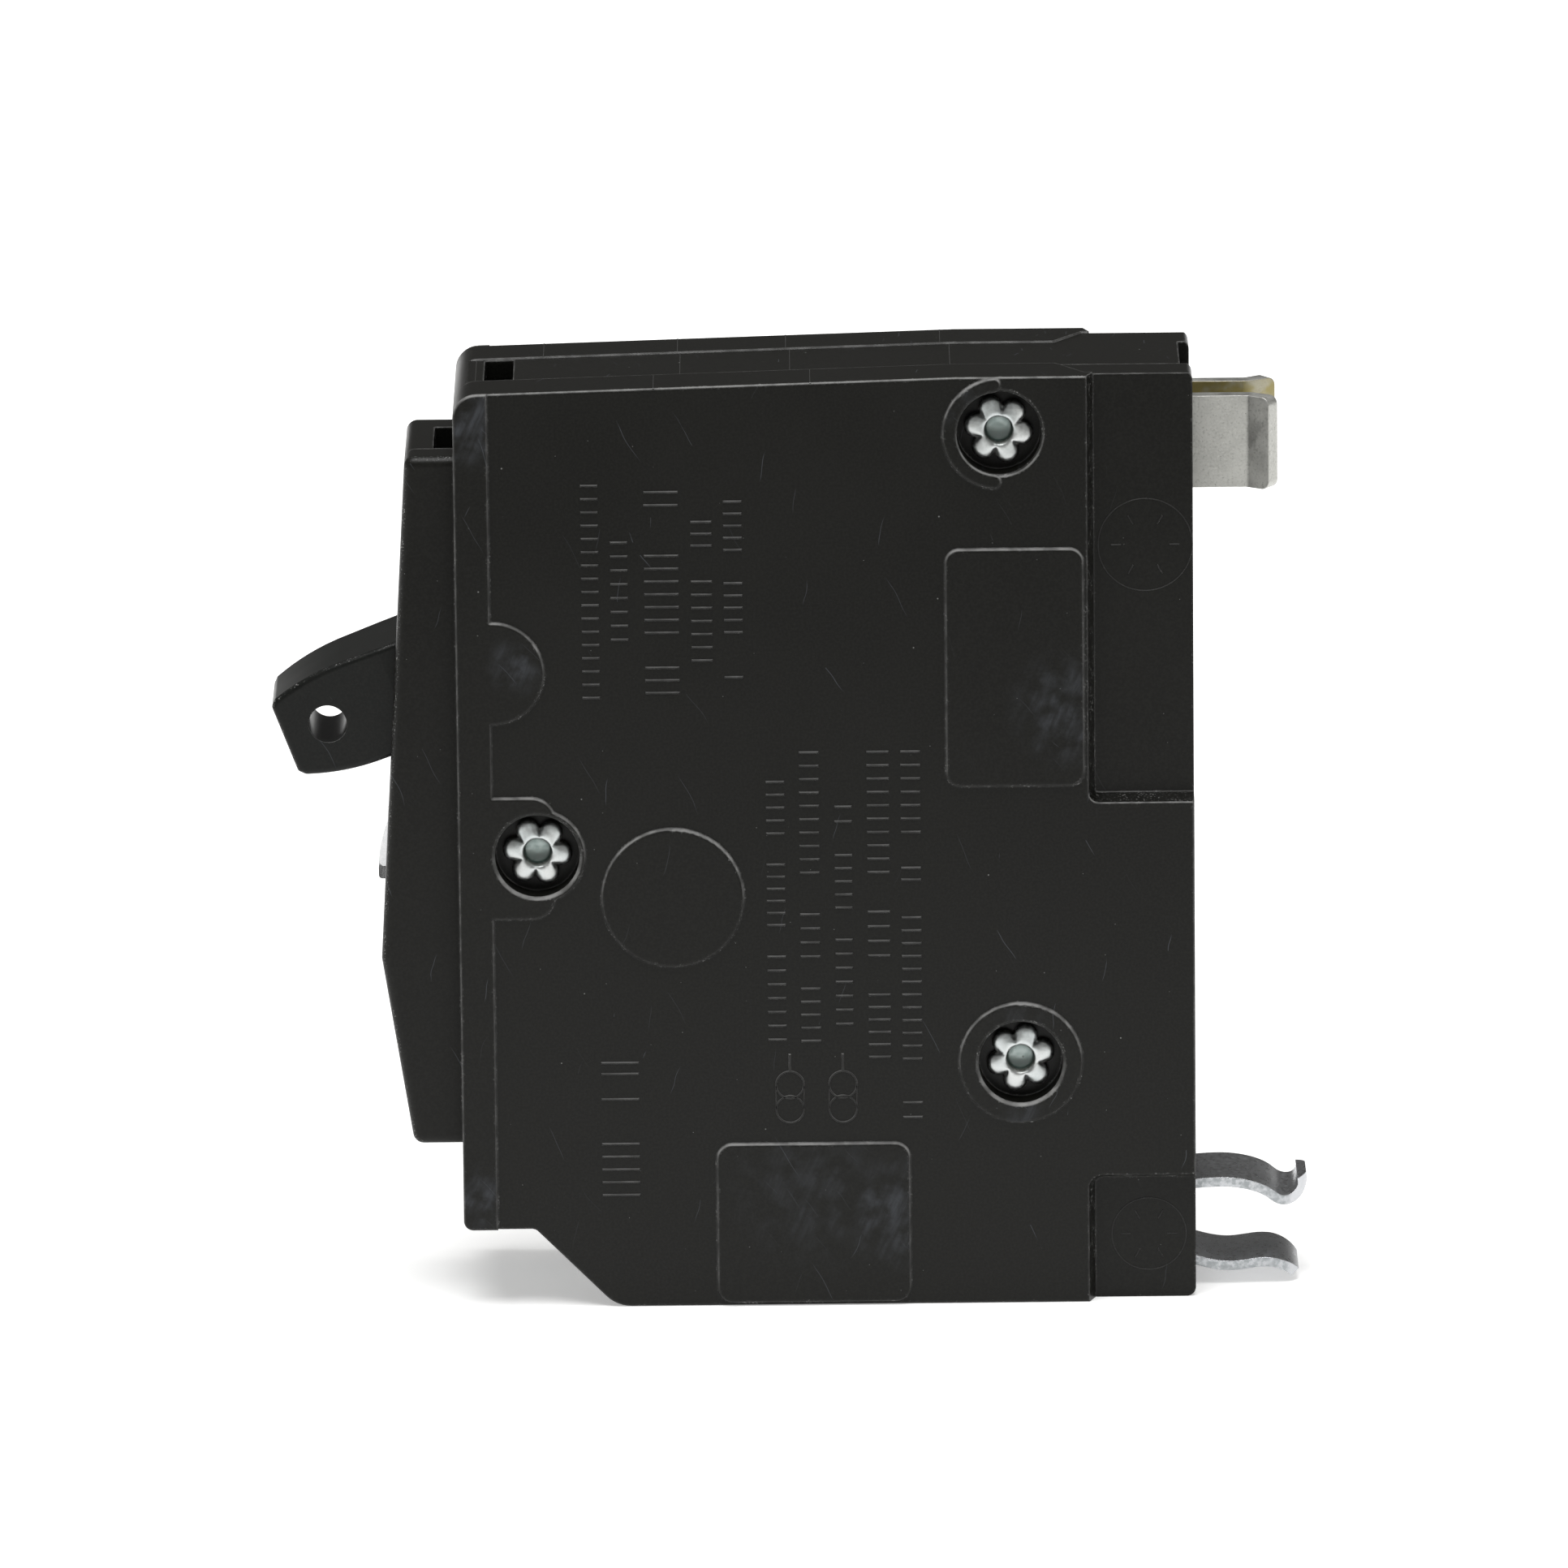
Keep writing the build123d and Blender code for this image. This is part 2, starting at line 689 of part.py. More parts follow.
with BuildPart() as line_strap:
    with BuildSketch(Plane.XZ):
        outline([
            (strap_start_x, line_strap_z),
            (jaw_web_x, line_strap_z),
            (jaw_web_x, jaw_high_z - 1),
            (jaw_web_x - jaw_metal, jaw_high_z - 1),
            (jaw_web_x - jaw_metal, line_strap_z + jaw_metal),
            (strap_start_x, line_strap_z + jaw_metal),
        ])
    extrude(amount=strap_half, both=True)
    fillet(edges_along_y(line_strap, jaw_web_x, Axis.X).sort_by(Axis.Z)[0], 1.5)
save(line_strap, "line_strap")

# two-leaf jaw that grips the panel's bus stab, flared at the mouth
with BuildPart() as line_jaw:
    leaf_y = jaw_half_outer - jaw_metal / 2
    flare_x = jaw_end_x - jaw_metal / 2 * sin(radians(jaw_flare_angle))
    flare_y = leaf_y + (flare_x - jaw_bend_x) * tan(radians(jaw_flare_angle))
    web_x = jaw_web_x + jaw_metal / 2
    with BuildSketch(Plane.XY.offset(jaw_low_z)):
        with BuildLine():
            FilletPolyline(
                (flare_x, flare_y),
                (jaw_bend_x, leaf_y),
                (web_x, leaf_y),
                (web_x, -leaf_y),
                (jaw_bend_x, -leaf_y),
                (flare_x, -flare_y),
                radius=jaw_bend_radius,
            )
        trace(line_width=jaw_metal)
    extrude(amount=jaw_high_z - jaw_low_z)
    leaf_corners = [
        edge for edge in line_jaw.edges()
        if edge.center().X > jaw_bend_x + 1 and abs(edge.length - jaw_metal) < 0.01
    ]
    fillet(leaf_corners, jaw_corner_radius)
save(line_jaw, "line_jaw")

# ---------------------------------------------------------------- arc chamber
with BuildPart() as arc_plates:
    with BuildSketch(Plane.XY.offset(arc_low_z)):
        outline([
            (arc_front_x, arc_half),
            (arc_back_x, arc_half),
            (arc_back_x, -arc_half),
            (arc_front_x, -arc_half),
            (arc_front_x, -2.4),
            (arc_notch_x, -0.8),
            (arc_notch_x, 0.8),
            (arc_front_x, 2.4),
        ])
    extrude(amount=arc_plate_metal)
    first_plate = arc_plates.part
    for step in range(1, arc_plate_count):
        add(first_plate.moved(Location((0, 0, arc_pitch * step))))
save(arc_plates, "arc_plates")

with BuildPart() as arc_liner:
    liner_length = arc_back_x - arc_front_x + 1
    with BuildSketch(Plane.XY.offset(liner_low_z)):
        with Locations((arc_back_x + 0.8 - liner_length / 2, 0)):
            Rectangle(liner_length, 2 * (arc_half + liner_metal))
        with Locations((arc_back_x - liner_length / 2, 0)):
            Rectangle(liner_length, 2 * arc_half, mode=Mode.SUBTRACT)
    extrude(amount=liner_height)
save(arc_liner, "arc_liner")

# ---------------------------------------------------------------- trip system
lever_plane = side_plane(front_rivet, 0, lever_far_y)
with BuildPart() as trip_lever:
    with BuildSketch(side_plane(y=lever_far_y)):
        # hub, arm that ends at the latch, arm up to the spring stub, finger that carries the flag
        with Locations(front_rivet):
            Circle(6.5)
        outline([
            (-18, 44.2),
            (-9.2, 41.6),
            (-2.0, 41.2),
            (latch_x, 39.2),
            (latch_x, latch_z),
            (-3.5, latch_z),
            (-16, 34.4),
        ])
        outline([
            (-9.8, 40.5),
            shifted(lever_hook, (-1.6, 0)),
            shifted(lever_hook, (1.6, 0)),
            (-3.4, 40.5),
        ])
        with Locations(lever_hook):
            Circle(1.6)
        outline([
            shifted(front_rivet, polar(5.6, flag_angle - 16)),
            shifted(front_rivet, polar(flag_radius, flag_angle - 8)),
            shifted(front_rivet, polar(flag_radius, flag_angle + 8)),
            shifted(front_rivet, polar(5.6, flag_angle + 16)),
        ])
        with Locations(front_rivet):
            Circle(post_radius + running_gap, mode=Mode.SUBTRACT)
    extrude(amount=lever_far_y - lever_near_y)
    with BuildSketch(side_plane(y=lever_far_y)):
        with Locations(lever_hook):
            Circle(hook_radius)
    extrude(amount=-(hook_reach - lever_far_y))
save(trip_lever, "trip_lever")

with BuildPart() as trip_flag:
    with BuildSketch(lever_plane):
        Circle(flag_radius + flag_metal)
        Circle(flag_radius, mode=Mode.SUBTRACT)
        sector = [
            (0, 0),
            polar(30, flag_angle - flag_span),
            polar(30, flag_angle),
            polar(30, flag_angle + flag_span),
        ]
        outline(sector, mode=Mode.INTERSECT)
    extrude(amount=lever_far_y + flag_half)
save(trip_flag, "trip_flag")

with BuildPart() as bimetal:
    with Locations((bimetal_x + bimetal_metal / 2, 0, bimetal_low_z + bimetal_length / 2)):
        Box(bimetal_metal, 2 * bimetal_half, bimetal_length)
save(bimetal, "bimetal")

with BuildPart() as magnet_yoke:
    with BuildSketch(Plane.XZ):
        outline([
            (9.3, 31),
            (4.6, 31),
            (4.6, 18.6),
            (0.6, 18.6),
            (0.6, 15.4),
            (6.4, 15.4),
            (9.3, 20),
        ])
        with Locations(armature_pivot):
            Circle(armature_pin_radius + running_gap, mode=Mode.SUBTRACT)
    extrude(amount=yoke_half, both=True)
    # room for the bimetal between the two side cheeks
    with Locations((bimetal_x + bimetal_metal + 0.1 - 10, 0, 24)):
        Box(20, 2 * (bimetal_half + 0.4), 30, mode=Mode.SUBTRACT)
save(magnet_yoke, "magnet_yoke")

with BuildPart() as armature:
    with Locations((armature_x + armature_metal / 2, 0, 29.1)):
        Box(armature_metal, 2 * armature_half, 19.8)
    with Locations((armature_x + armature_metal / 2, 0, 17.6)):
        Box(armature_metal, 6.0, 3.4)
    with BuildSketch(side_plane(armature_pivot)):
        Circle(armature_pin_radius)
    extrude(amount=yoke_half - 0.1, both=True)
    with Locations((armature_x - 0.4, lever_near_y + 0.9, latch_z - latch_gap - 0.4)):
        Box(0.8, 2.2, 0.8)
save(armature, "armature")

with BuildPart() as shunt_braid:
    with BuildLine():
        FilletPolyline(
            (braid_start[0], 0, braid_start[1]),
            (13.6, 0, braid_start[1]),
            (13.6, 0, 42.2),
            (9.4, 0, 46.2),
            radius=braid_bend,
        )
    with BuildSketch(Plane.YZ.offset(braid_start[0])):
        with Locations((0, braid_start[1])):
            Circle(braid_radius)
    sweep()
save(shunt_braid, "shunt_braid")

# ---------------------------------------------------------------- springs
spring_start = shifted(arm_pivot, turned(arm_hook, arm_swing))
run_x = lever_hook[0] - spring_start[0]
run_z = lever_hook[1] - spring_start[1]
run = (run_x ** 2 + run_z ** 2) ** 0.5
first_coil = shifted(spring_start, (coil_end_gap * run_x / run, coil_end_gap * run_z / run))
coil_length = run - 2 * coil_end_gap
toggle_start = Plane(
    origin=(first_coil[0], spring_y, first_coil[1]),
    x_dir=(0, 1, 0),
    z_dir=(run_x, 0, run_z),
)
armature_start = Plane(
    origin=(armature_x + armature_metal + 0.4, 0, armature_spring_z),
    x_dir=(0, 1, 0),
    z_dir=(1, 0, 0),
)
toggle_helix = Helix(pitch=coil_length / toggle_coils, height=coil_length, radius=toggle_coil_radius)
armature_helix = Helix(
    pitch=armature_coil_pitch,
    height=armature_coil_length,
    radius=armature_coil_radius,
)
springs = [
    ("toggle_spring", toggle_start, toggle_helix, toggle_wire_radius),
    ("armature_spring", armature_start, armature_helix, armature_wire_radius),
]
for spring_name, start_plane, helix, wire_radius in springs:
    with BuildPart() as spring:
        coil_path = start_plane.from_local_coords(helix)
        with BuildSketch(Plane(origin=coil_path @ 0, z_dir=coil_path % 0)):
            Circle(wire_radius)
        sweep(path=coil_path)
    save(spring, spring_name)

# ---------------------------------------------------------------- load terminal
with BuildPart() as load_terminal:
    with BuildSketch(Plane.XZ):
        outline([
            (terminal_plate_x, strap_z),
            (bimetal_x, strap_z),
            (bimetal_x, tail_top_z),
            (bimetal_x - strap_metal, tail_top_z),
            (bimetal_x - strap_metal, strap_z + strap_metal),
            (terminal_plate_x + terminal_plate_metal, strap_z + strap_metal),
            (terminal_plate_x + terminal_plate_metal, terminal_plate_foot_z + 1),
            (terminal_plate_x, terminal_plate_foot_z + 1),
        ])
    extrude(amount=strap_half, both=True)
    plate_mid_x = terminal_plate_x + terminal_plate_metal / 2
    plate_height = terminal_plate_top_z - terminal_plate_foot_z
    with Locations((plate_mid_x, 0, terminal_plate_foot_z + plate_height / 2)):
        Box(terminal_plate_metal, terminal_plate_width, plate_height)
    with Locations(Location((plate_mid_x, 0, screw_z), (0, 90, 0))):
        Cylinder(screw_radius + running_gap, 4, mode=Mode.SUBTRACT)
save(load_terminal, "load_terminal")

with BuildPart() as clamp_plate:
    with Locations((clamp_x + terminal_plate_metal / 2, 0, screw_z)):
        Box(terminal_plate_metal, terminal_plate_width, clamp_height)
    fillet(clamp_plate.edges().filter_by(Axis.X), 0.8)
    with Locations(Location((clamp_x + terminal_plate_metal / 2, 0, screw_z), (0, 90, 0))):
        Cylinder(screw_radius + running_gap, 4, mode=Mode.SUBTRACT)
save(clamp_plate, "clamp_plate")

with BuildPart() as terminal_screw:
    with BuildSketch(Plane.YZ.offset(clamp_x - 0.05)):
        with Locations((0, screw_z)):
            Circle(screw_head_radius)
    extrude(amount=-screw_head_height)
    fillet(terminal_screw.faces().sort_by(Axis.X)[0].edges(), 0.4)
    with BuildSketch(Plane.YZ.offset(clamp_x - 0.05)):
        with Locations((0, screw_z)):
            Circle(screw_radius)
    extrude(amount=screw_length)
    chamfer(terminal_screw.faces().sort_by(Axis.X)[-1].edges(), 0.4)
    slot_x = clamp_x - 0.05 - screw_head_height
    with Locations((slot_x, 0, screw_z)):
        Box(2 * driver_slot_depth, 2 * screw_head_radius + 1, driver_slot_width, mode=Mode.SUBTRACT)
save(terminal_screw, "terminal_screw")

with BuildPart() as calibration_screw:
    with Locations((calibration_x, 0, strap_z / 2 + 0.25)):
        Cylinder(calibration_radius, strap_z - 0.5)
    with Locations((calibration_x, 0, 0.5)):
        Box(3, 0.5, 1.0, mode=Mode.SUBTRACT)
save(calibration_screw, "calibration_screw")

# ---------------------------------------------------------------- rail clip
# one hairpin of spring strip: a web inside the case and two waved fingers outside
with BuildPart() as rail_clip:
    with BuildSketch(Plane.XZ):
        with BuildLine():
            upper = Spline(
                (back_x - 2.6, clip_upper_z),
                (37.4, clip_upper_z + 0.08),
                (39.8, 7.8),
                (41.3, 7.15),
                tangents=((1, 0), (1, 0.05)),
            )
            hook = RadiusArc(upper @ 1, (42.5, 8.9), -1.35)
            top_bend = RadiusArc(upper @ 0, (clip_web_x, clip_upper_z - 1.3), -1.3)
            web = Line(top_bend @ 1, (clip_web_x, clip_lower_z + 1.9))
            low_bend = RadiusArc(web @ 1, (back_x - 2.9, clip_lower_z + 0.75), -1.2)
            lower = Spline(
                low_bend @ 1,
                (36.9, 1.58),
                (39.9, 1.82),
                (41.9, 0.75),
                tangents=((1, -0.25), (1, -1.4)),
            )
        trace(line_width=clip_metal)
    extrude(amount=clip_half, both=True)
    # finger ends rounded in plan
    with BuildSketch(Plane.XY.offset(-1)):
        with Locations((clip_end_x - 10, 0)):
            RectangleRounded(20, 2 * clip_half, clip_end_round)
        with Locations((back_x - 5, 0)):
            Rectangle(10, 2 * clip_half)
    extrude(amount=12, mode=Mode.INTERSECT)
save(rail_clip, "rail_clip")
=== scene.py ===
"""Looks of a single-pole plug-in circuit breaker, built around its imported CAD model.

Everything is in metres in the frame of the model: +X from the handle to the plug-in
side, +Y away from the cover side, +Z from the load end to the line end.
"""
import math

import bmesh
import bpy
from mathutils import Matrix, Vector


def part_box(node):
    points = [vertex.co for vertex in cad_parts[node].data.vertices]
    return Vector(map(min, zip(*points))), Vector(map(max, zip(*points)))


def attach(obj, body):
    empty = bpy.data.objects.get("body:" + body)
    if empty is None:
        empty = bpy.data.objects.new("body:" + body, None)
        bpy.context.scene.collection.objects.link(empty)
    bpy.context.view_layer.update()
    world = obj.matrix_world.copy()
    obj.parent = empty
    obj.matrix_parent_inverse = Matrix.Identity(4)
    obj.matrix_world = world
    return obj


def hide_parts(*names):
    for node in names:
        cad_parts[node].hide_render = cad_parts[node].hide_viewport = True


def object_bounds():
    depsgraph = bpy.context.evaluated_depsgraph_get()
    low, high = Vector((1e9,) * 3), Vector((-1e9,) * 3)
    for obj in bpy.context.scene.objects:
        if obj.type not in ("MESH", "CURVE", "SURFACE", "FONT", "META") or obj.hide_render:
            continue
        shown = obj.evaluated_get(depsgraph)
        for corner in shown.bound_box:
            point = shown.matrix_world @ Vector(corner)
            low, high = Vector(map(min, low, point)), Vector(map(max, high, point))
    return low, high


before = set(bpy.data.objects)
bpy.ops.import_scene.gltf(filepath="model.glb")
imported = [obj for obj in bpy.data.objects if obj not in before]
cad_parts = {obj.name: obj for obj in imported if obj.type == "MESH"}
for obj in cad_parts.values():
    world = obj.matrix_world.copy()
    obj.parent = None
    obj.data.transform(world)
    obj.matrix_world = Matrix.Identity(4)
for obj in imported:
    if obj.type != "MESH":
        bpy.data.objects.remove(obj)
cad_low, cad_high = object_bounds()

MM = 0.001

# colours, as the share of red, green and blue that each throws back
BLACK = (0.0048, 0.0047, 0.0038)
HANDLE_BLACK = (0.0048, 0.0054, 0.0049)
GRAIN = (0.016, 0.0165, 0.014)
# raised marks, lighter than the case: partly wear on their tops, partly painted highlight
WORN_AND_HIGHLIT_BLACK = (0.022, 0.022, 0.021)
# pale edge colour, partly wear and partly painted highlight
PALE_EDGE_WEAR_AND_HIGHLIGHT = (0.30, 0.30, 0.295)
FLASH = (0.085, 0.085, 0.083)
BORE = (0.29, 0.35, 0.335)
SCUFF = (0.095, 0.102, 0.118)
DUST = (0.30, 0.31, 0.30)
# darker brown tone for the low parts of the rivet ends
LOW_PETAL_BROWN = (0.20, 0.175, 0.145)
FAR_HEAD = (0.44, 0.47, 0.48)
ZINC = (0.60, 0.64, 0.66)
TIN = (0.47, 0.47, 0.445)
YELLOWED = (0.34, 0.29, 0.12)
COPPER = (0.72, 0.36, 0.22)
SILVER = (0.80, 0.79, 0.76)
STEEL = (0.45, 0.45, 0.46)
LENS_CLEAR = (0.72, 0.72, 0.73)
LENS_HAZE = (0.56, 0.57, 0.58)
FIBRE = (0.42, 0.13, 0.07)
FLAG = (0.62, 0.05, 0.02)

# where the parts of the case lie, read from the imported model
cover_low, cover_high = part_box("cover_case")
case_low, case_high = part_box("base_case")
rivets_low, rivets_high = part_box("case_rivets")
jaw_low, jaw_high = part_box("line_jaw")
RELIEF = 0.3 * MM                      # raised features stand this far off the side panels
RECESS_DEPTH = 1.9 * MM                # and the hand recesses lie this far below them
PANEL_Y = cover_low.y + RELIEF         # plane of the near side panel
RECESS_Y = cover_low.y + RECESS_DEPTH  # floor of the near hand recesses
FLOOR_Z = cad_low.z
TOWARD = Vector((0, -1, 0))            # out of the near side
ALONG_X = Vector((1, 0, 0))
ALONG_Y = Vector((0, 1, 0))
ALONG_Z = Vector((0, 0, 1))

# levels that the rules for wear, painted edge highlight and tints go by, as distances from the
# middle plane
RIM_LOW, RIM_HIGH = 9.02 * MM, 9.16 * MM       # the rims of the side panels start here
PAD_LOW, PAD_HIGH = 9.38 * MM, 9.46 * MM       # the faces of the raised pads start here
PETAL_LOW, PETAL_HIGH = -7.95 * MM, -7.50 * MM     # the rivet ends are tinted darker brown between and around their petals from here
BORE_LOW, BORE_HIGH = -7.15 * MM, -6.80 * MM       # the rivets' bores begin here
HEAD_LOW, HEAD_HIGH = 6.9 * MM, 7.1 * MM           # and their far heads here


# ---------------------------------------------------------------- shader helpers
class Shader:
    """One material under construction: adds nodes and links them."""

    def __init__(self, name, metallic, specular):
        self.material = bpy.data.materials.new(name)
        self.material.use_nodes = True
        self.tree = self.material.node_tree
        self.surface = self.tree.nodes["Principled BSDF"]
        self.surface.inputs["Metallic"].default_value = metallic
        self.surface.inputs["Specular IOR Level"].default_value = specular
        self.place = self.node("ShaderNodeTexCoord").outputs["Object"]

    def node(self, kind, **settings):
        made = self.tree.nodes.new(kind)
        for key, value in settings.items():
            setattr(made, key, value)
        return made

    def put(self, value, socket):
        """Links value into socket, or sets it there if it is a plain number or tuple."""
        if isinstance(value, bpy.types.NodeSocket):
            self.tree.links.new(value, socket)
        else:
            socket.default_value = value

    def math(self, operation, a, b=0.0):
        made = self.node("ShaderNodeMath", operation=operation, use_clamp=False)
        self.put(a, made.inputs[0])
        self.put(b, made.inputs[1])
        return made.outputs[0]

    def ramp(self, value, low, high, start=0.0, end=1.0):
        """Smooth step of value between low and high."""
        made = self.node("ShaderNodeMapRange", interpolation_type="SMOOTHSTEP")
        for socket, number in zip(made.inputs, (value, low, high, start, end)):
            self.put(number, socket)
        return made.outputs[0]

    def mix(self, share, a, b):
        made = self.node("ShaderNodeMix", data_type="RGBA")
        self.put(share, made.inputs[0])
        for socket, colour in ((made.inputs[6], a), (made.inputs[7], b)):
            self.put(colour if isinstance(colour, bpy.types.NodeSocket) else (*colour, 1), socket)
        return made.outputs[2]

    def stretched(self, scale, turn):
        """Object coordinates turned, then scaled differently along each axis."""
        made = self.node("ShaderNodeMapping", vector_type="TEXTURE")
        self.put(self.place, made.inputs["Vector"])
        made.inputs["Rotation"].default_value = [math.radians(a) for a in turn]
        made.inputs["Scale"].default_value = [1 / a for a in scale]
        return made.outputs[0]

    def noise(self, size, detail=3.0, stretch=None, turn=(0, 0, 0)):
        """Noise with blobs of about that size in metres."""
        made = self.node("ShaderNodeTexNoise")
        place = self.place if stretch is None else self.stretched(stretch, turn)
        self.put(place, made.inputs["Vector"])
        made.inputs["Scale"].default_value = 1 / size
        made.inputs["Detail"].default_value = detail
        return made.outputs["Fac"]

    def scratches(self, length, width, turn, bend, rare=0.965):
        """Thin, slightly curved scratches along one direction, in scattered places."""
        swirl = self.node("ShaderNodeTexNoise")
        self.put(self.place, swirl.inputs["Vector"])
        swirl.inputs["Scale"].default_value = 0.6 / length
        drift = self.node("ShaderNodeVectorMath", operation="MULTIPLY_ADD")
        self.put(swirl.outputs["Color"], drift.inputs[0])
        drift.inputs[1].default_value = (bend, bend, bend)
        self.put(self.place, drift.inputs[2])
        turned = self.node("ShaderNodeMapping", vector_type="TEXTURE")
        self.put(drift.outputs[0], turned.inputs["Vector"])
        turned.inputs["Rotation"].default_value = [math.radians(a) for a in turn]
        turned.inputs["Scale"].default_value = (length, width, width)
        cells = self.node("ShaderNodeTexVoronoi", feature="F1", distance="CHEBYCHEV")
        self.put(turned.outputs[0], cells.inputs["Vector"])
        cells.inputs["Scale"].default_value = 1.0
        offset = self.node("ShaderNodeVectorMath", operation="SUBTRACT")
        self.put(turned.outputs[0], offset.inputs[0])
        self.put(cells.outputs["Position"], offset.inputs[1])
        line = self.ramp(self.math("ABSOLUTE", self.part_of(offset.outputs[0], 2)), 0.035, 0.008)
        run = self.ramp(self.math("ABSOLUTE", self.part_of(offset.outputs[0], 0)), 0.42, 0.18)
        split = self.node("ShaderNodeSeparateColor")
        self.put(cells.outputs["Color"], split.inputs[0])
        kept = self.ramp(split.outputs[1], rare, 1.0)
        return self.math("MULTIPLY", self.math("MULTIPLY", line, run), kept)

    def specks(self, cell, size, kept):
        """Small round specks, one in each kept cell."""
        made = self.node("ShaderNodeTexVoronoi", feature="F1")
        self.put(self.place, made.inputs["Vector"])
        made.inputs["Scale"].default_value = 1 / cell
        near = self.ramp(made.outputs["Distance"], size / cell, 0.5 * size / cell)
        split = self.node("ShaderNodeSeparateColor")
        self.put(made.outputs["Color"], split.inputs[0])
        chosen = self.math("GREATER_THAN", split.outputs[0], 1 - kept)
        return self.math("MULTIPLY", near, chosen)

    def patch(self, centre, reach):
        """1 at the centre, falling to 0 at that distance from it."""
        made = self.node("ShaderNodeVectorMath", operation="DISTANCE")
        self.put(self.place, made.inputs[0])
        made.inputs[1].default_value = centre
        return self.ramp(made.outputs["Value"], reach, 0.25 * reach)

    def part_of(self, vector, index):
        """One component of a vector."""
        made = self.node("ShaderNodeSeparateXYZ")
        self.put(vector, made.inputs[0])
        return made.outputs[index]

    def rounding(self, radius):
        """Normal of the surface with its edges rounded off."""
        made = self.node("ShaderNodeBevel", samples=6)
        made.inputs["Radius"].default_value = radius
        return made.outputs["Normal"]

    def edges(self, rounded, start=0.985, full=0.80):
        """1 on edges and corners, 0 on flat and gently curved faces."""
        made = self.node("ShaderNodeVectorMath", operation="DOT_PRODUCT")
        self.put(rounded, made.inputs[0])
        self.put(self.node("ShaderNodeNewGeometry").outputs["Normal"], made.inputs[1])
        return self.ramp(made.outputs["Value"], start, full)

    def bump(self, height, distance, normal=None):
        made = self.node("ShaderNodeBump")
        made.inputs["Distance"].default_value = distance
        made.inputs["Strength"].default_value = 1.0
        self.put(height, made.inputs["Height"])
        if normal is not None:
            self.put(normal, made.inputs["Normal"])
        return made.outputs["Normal"]

    def finish(self, colour, roughness, normal):
        self.put(colour, self.surface.inputs["Base Color"])
        self.put(roughness, self.surface.inputs["Roughness"])
        self.put(normal, self.surface.inputs["Normal"])
        return self.material


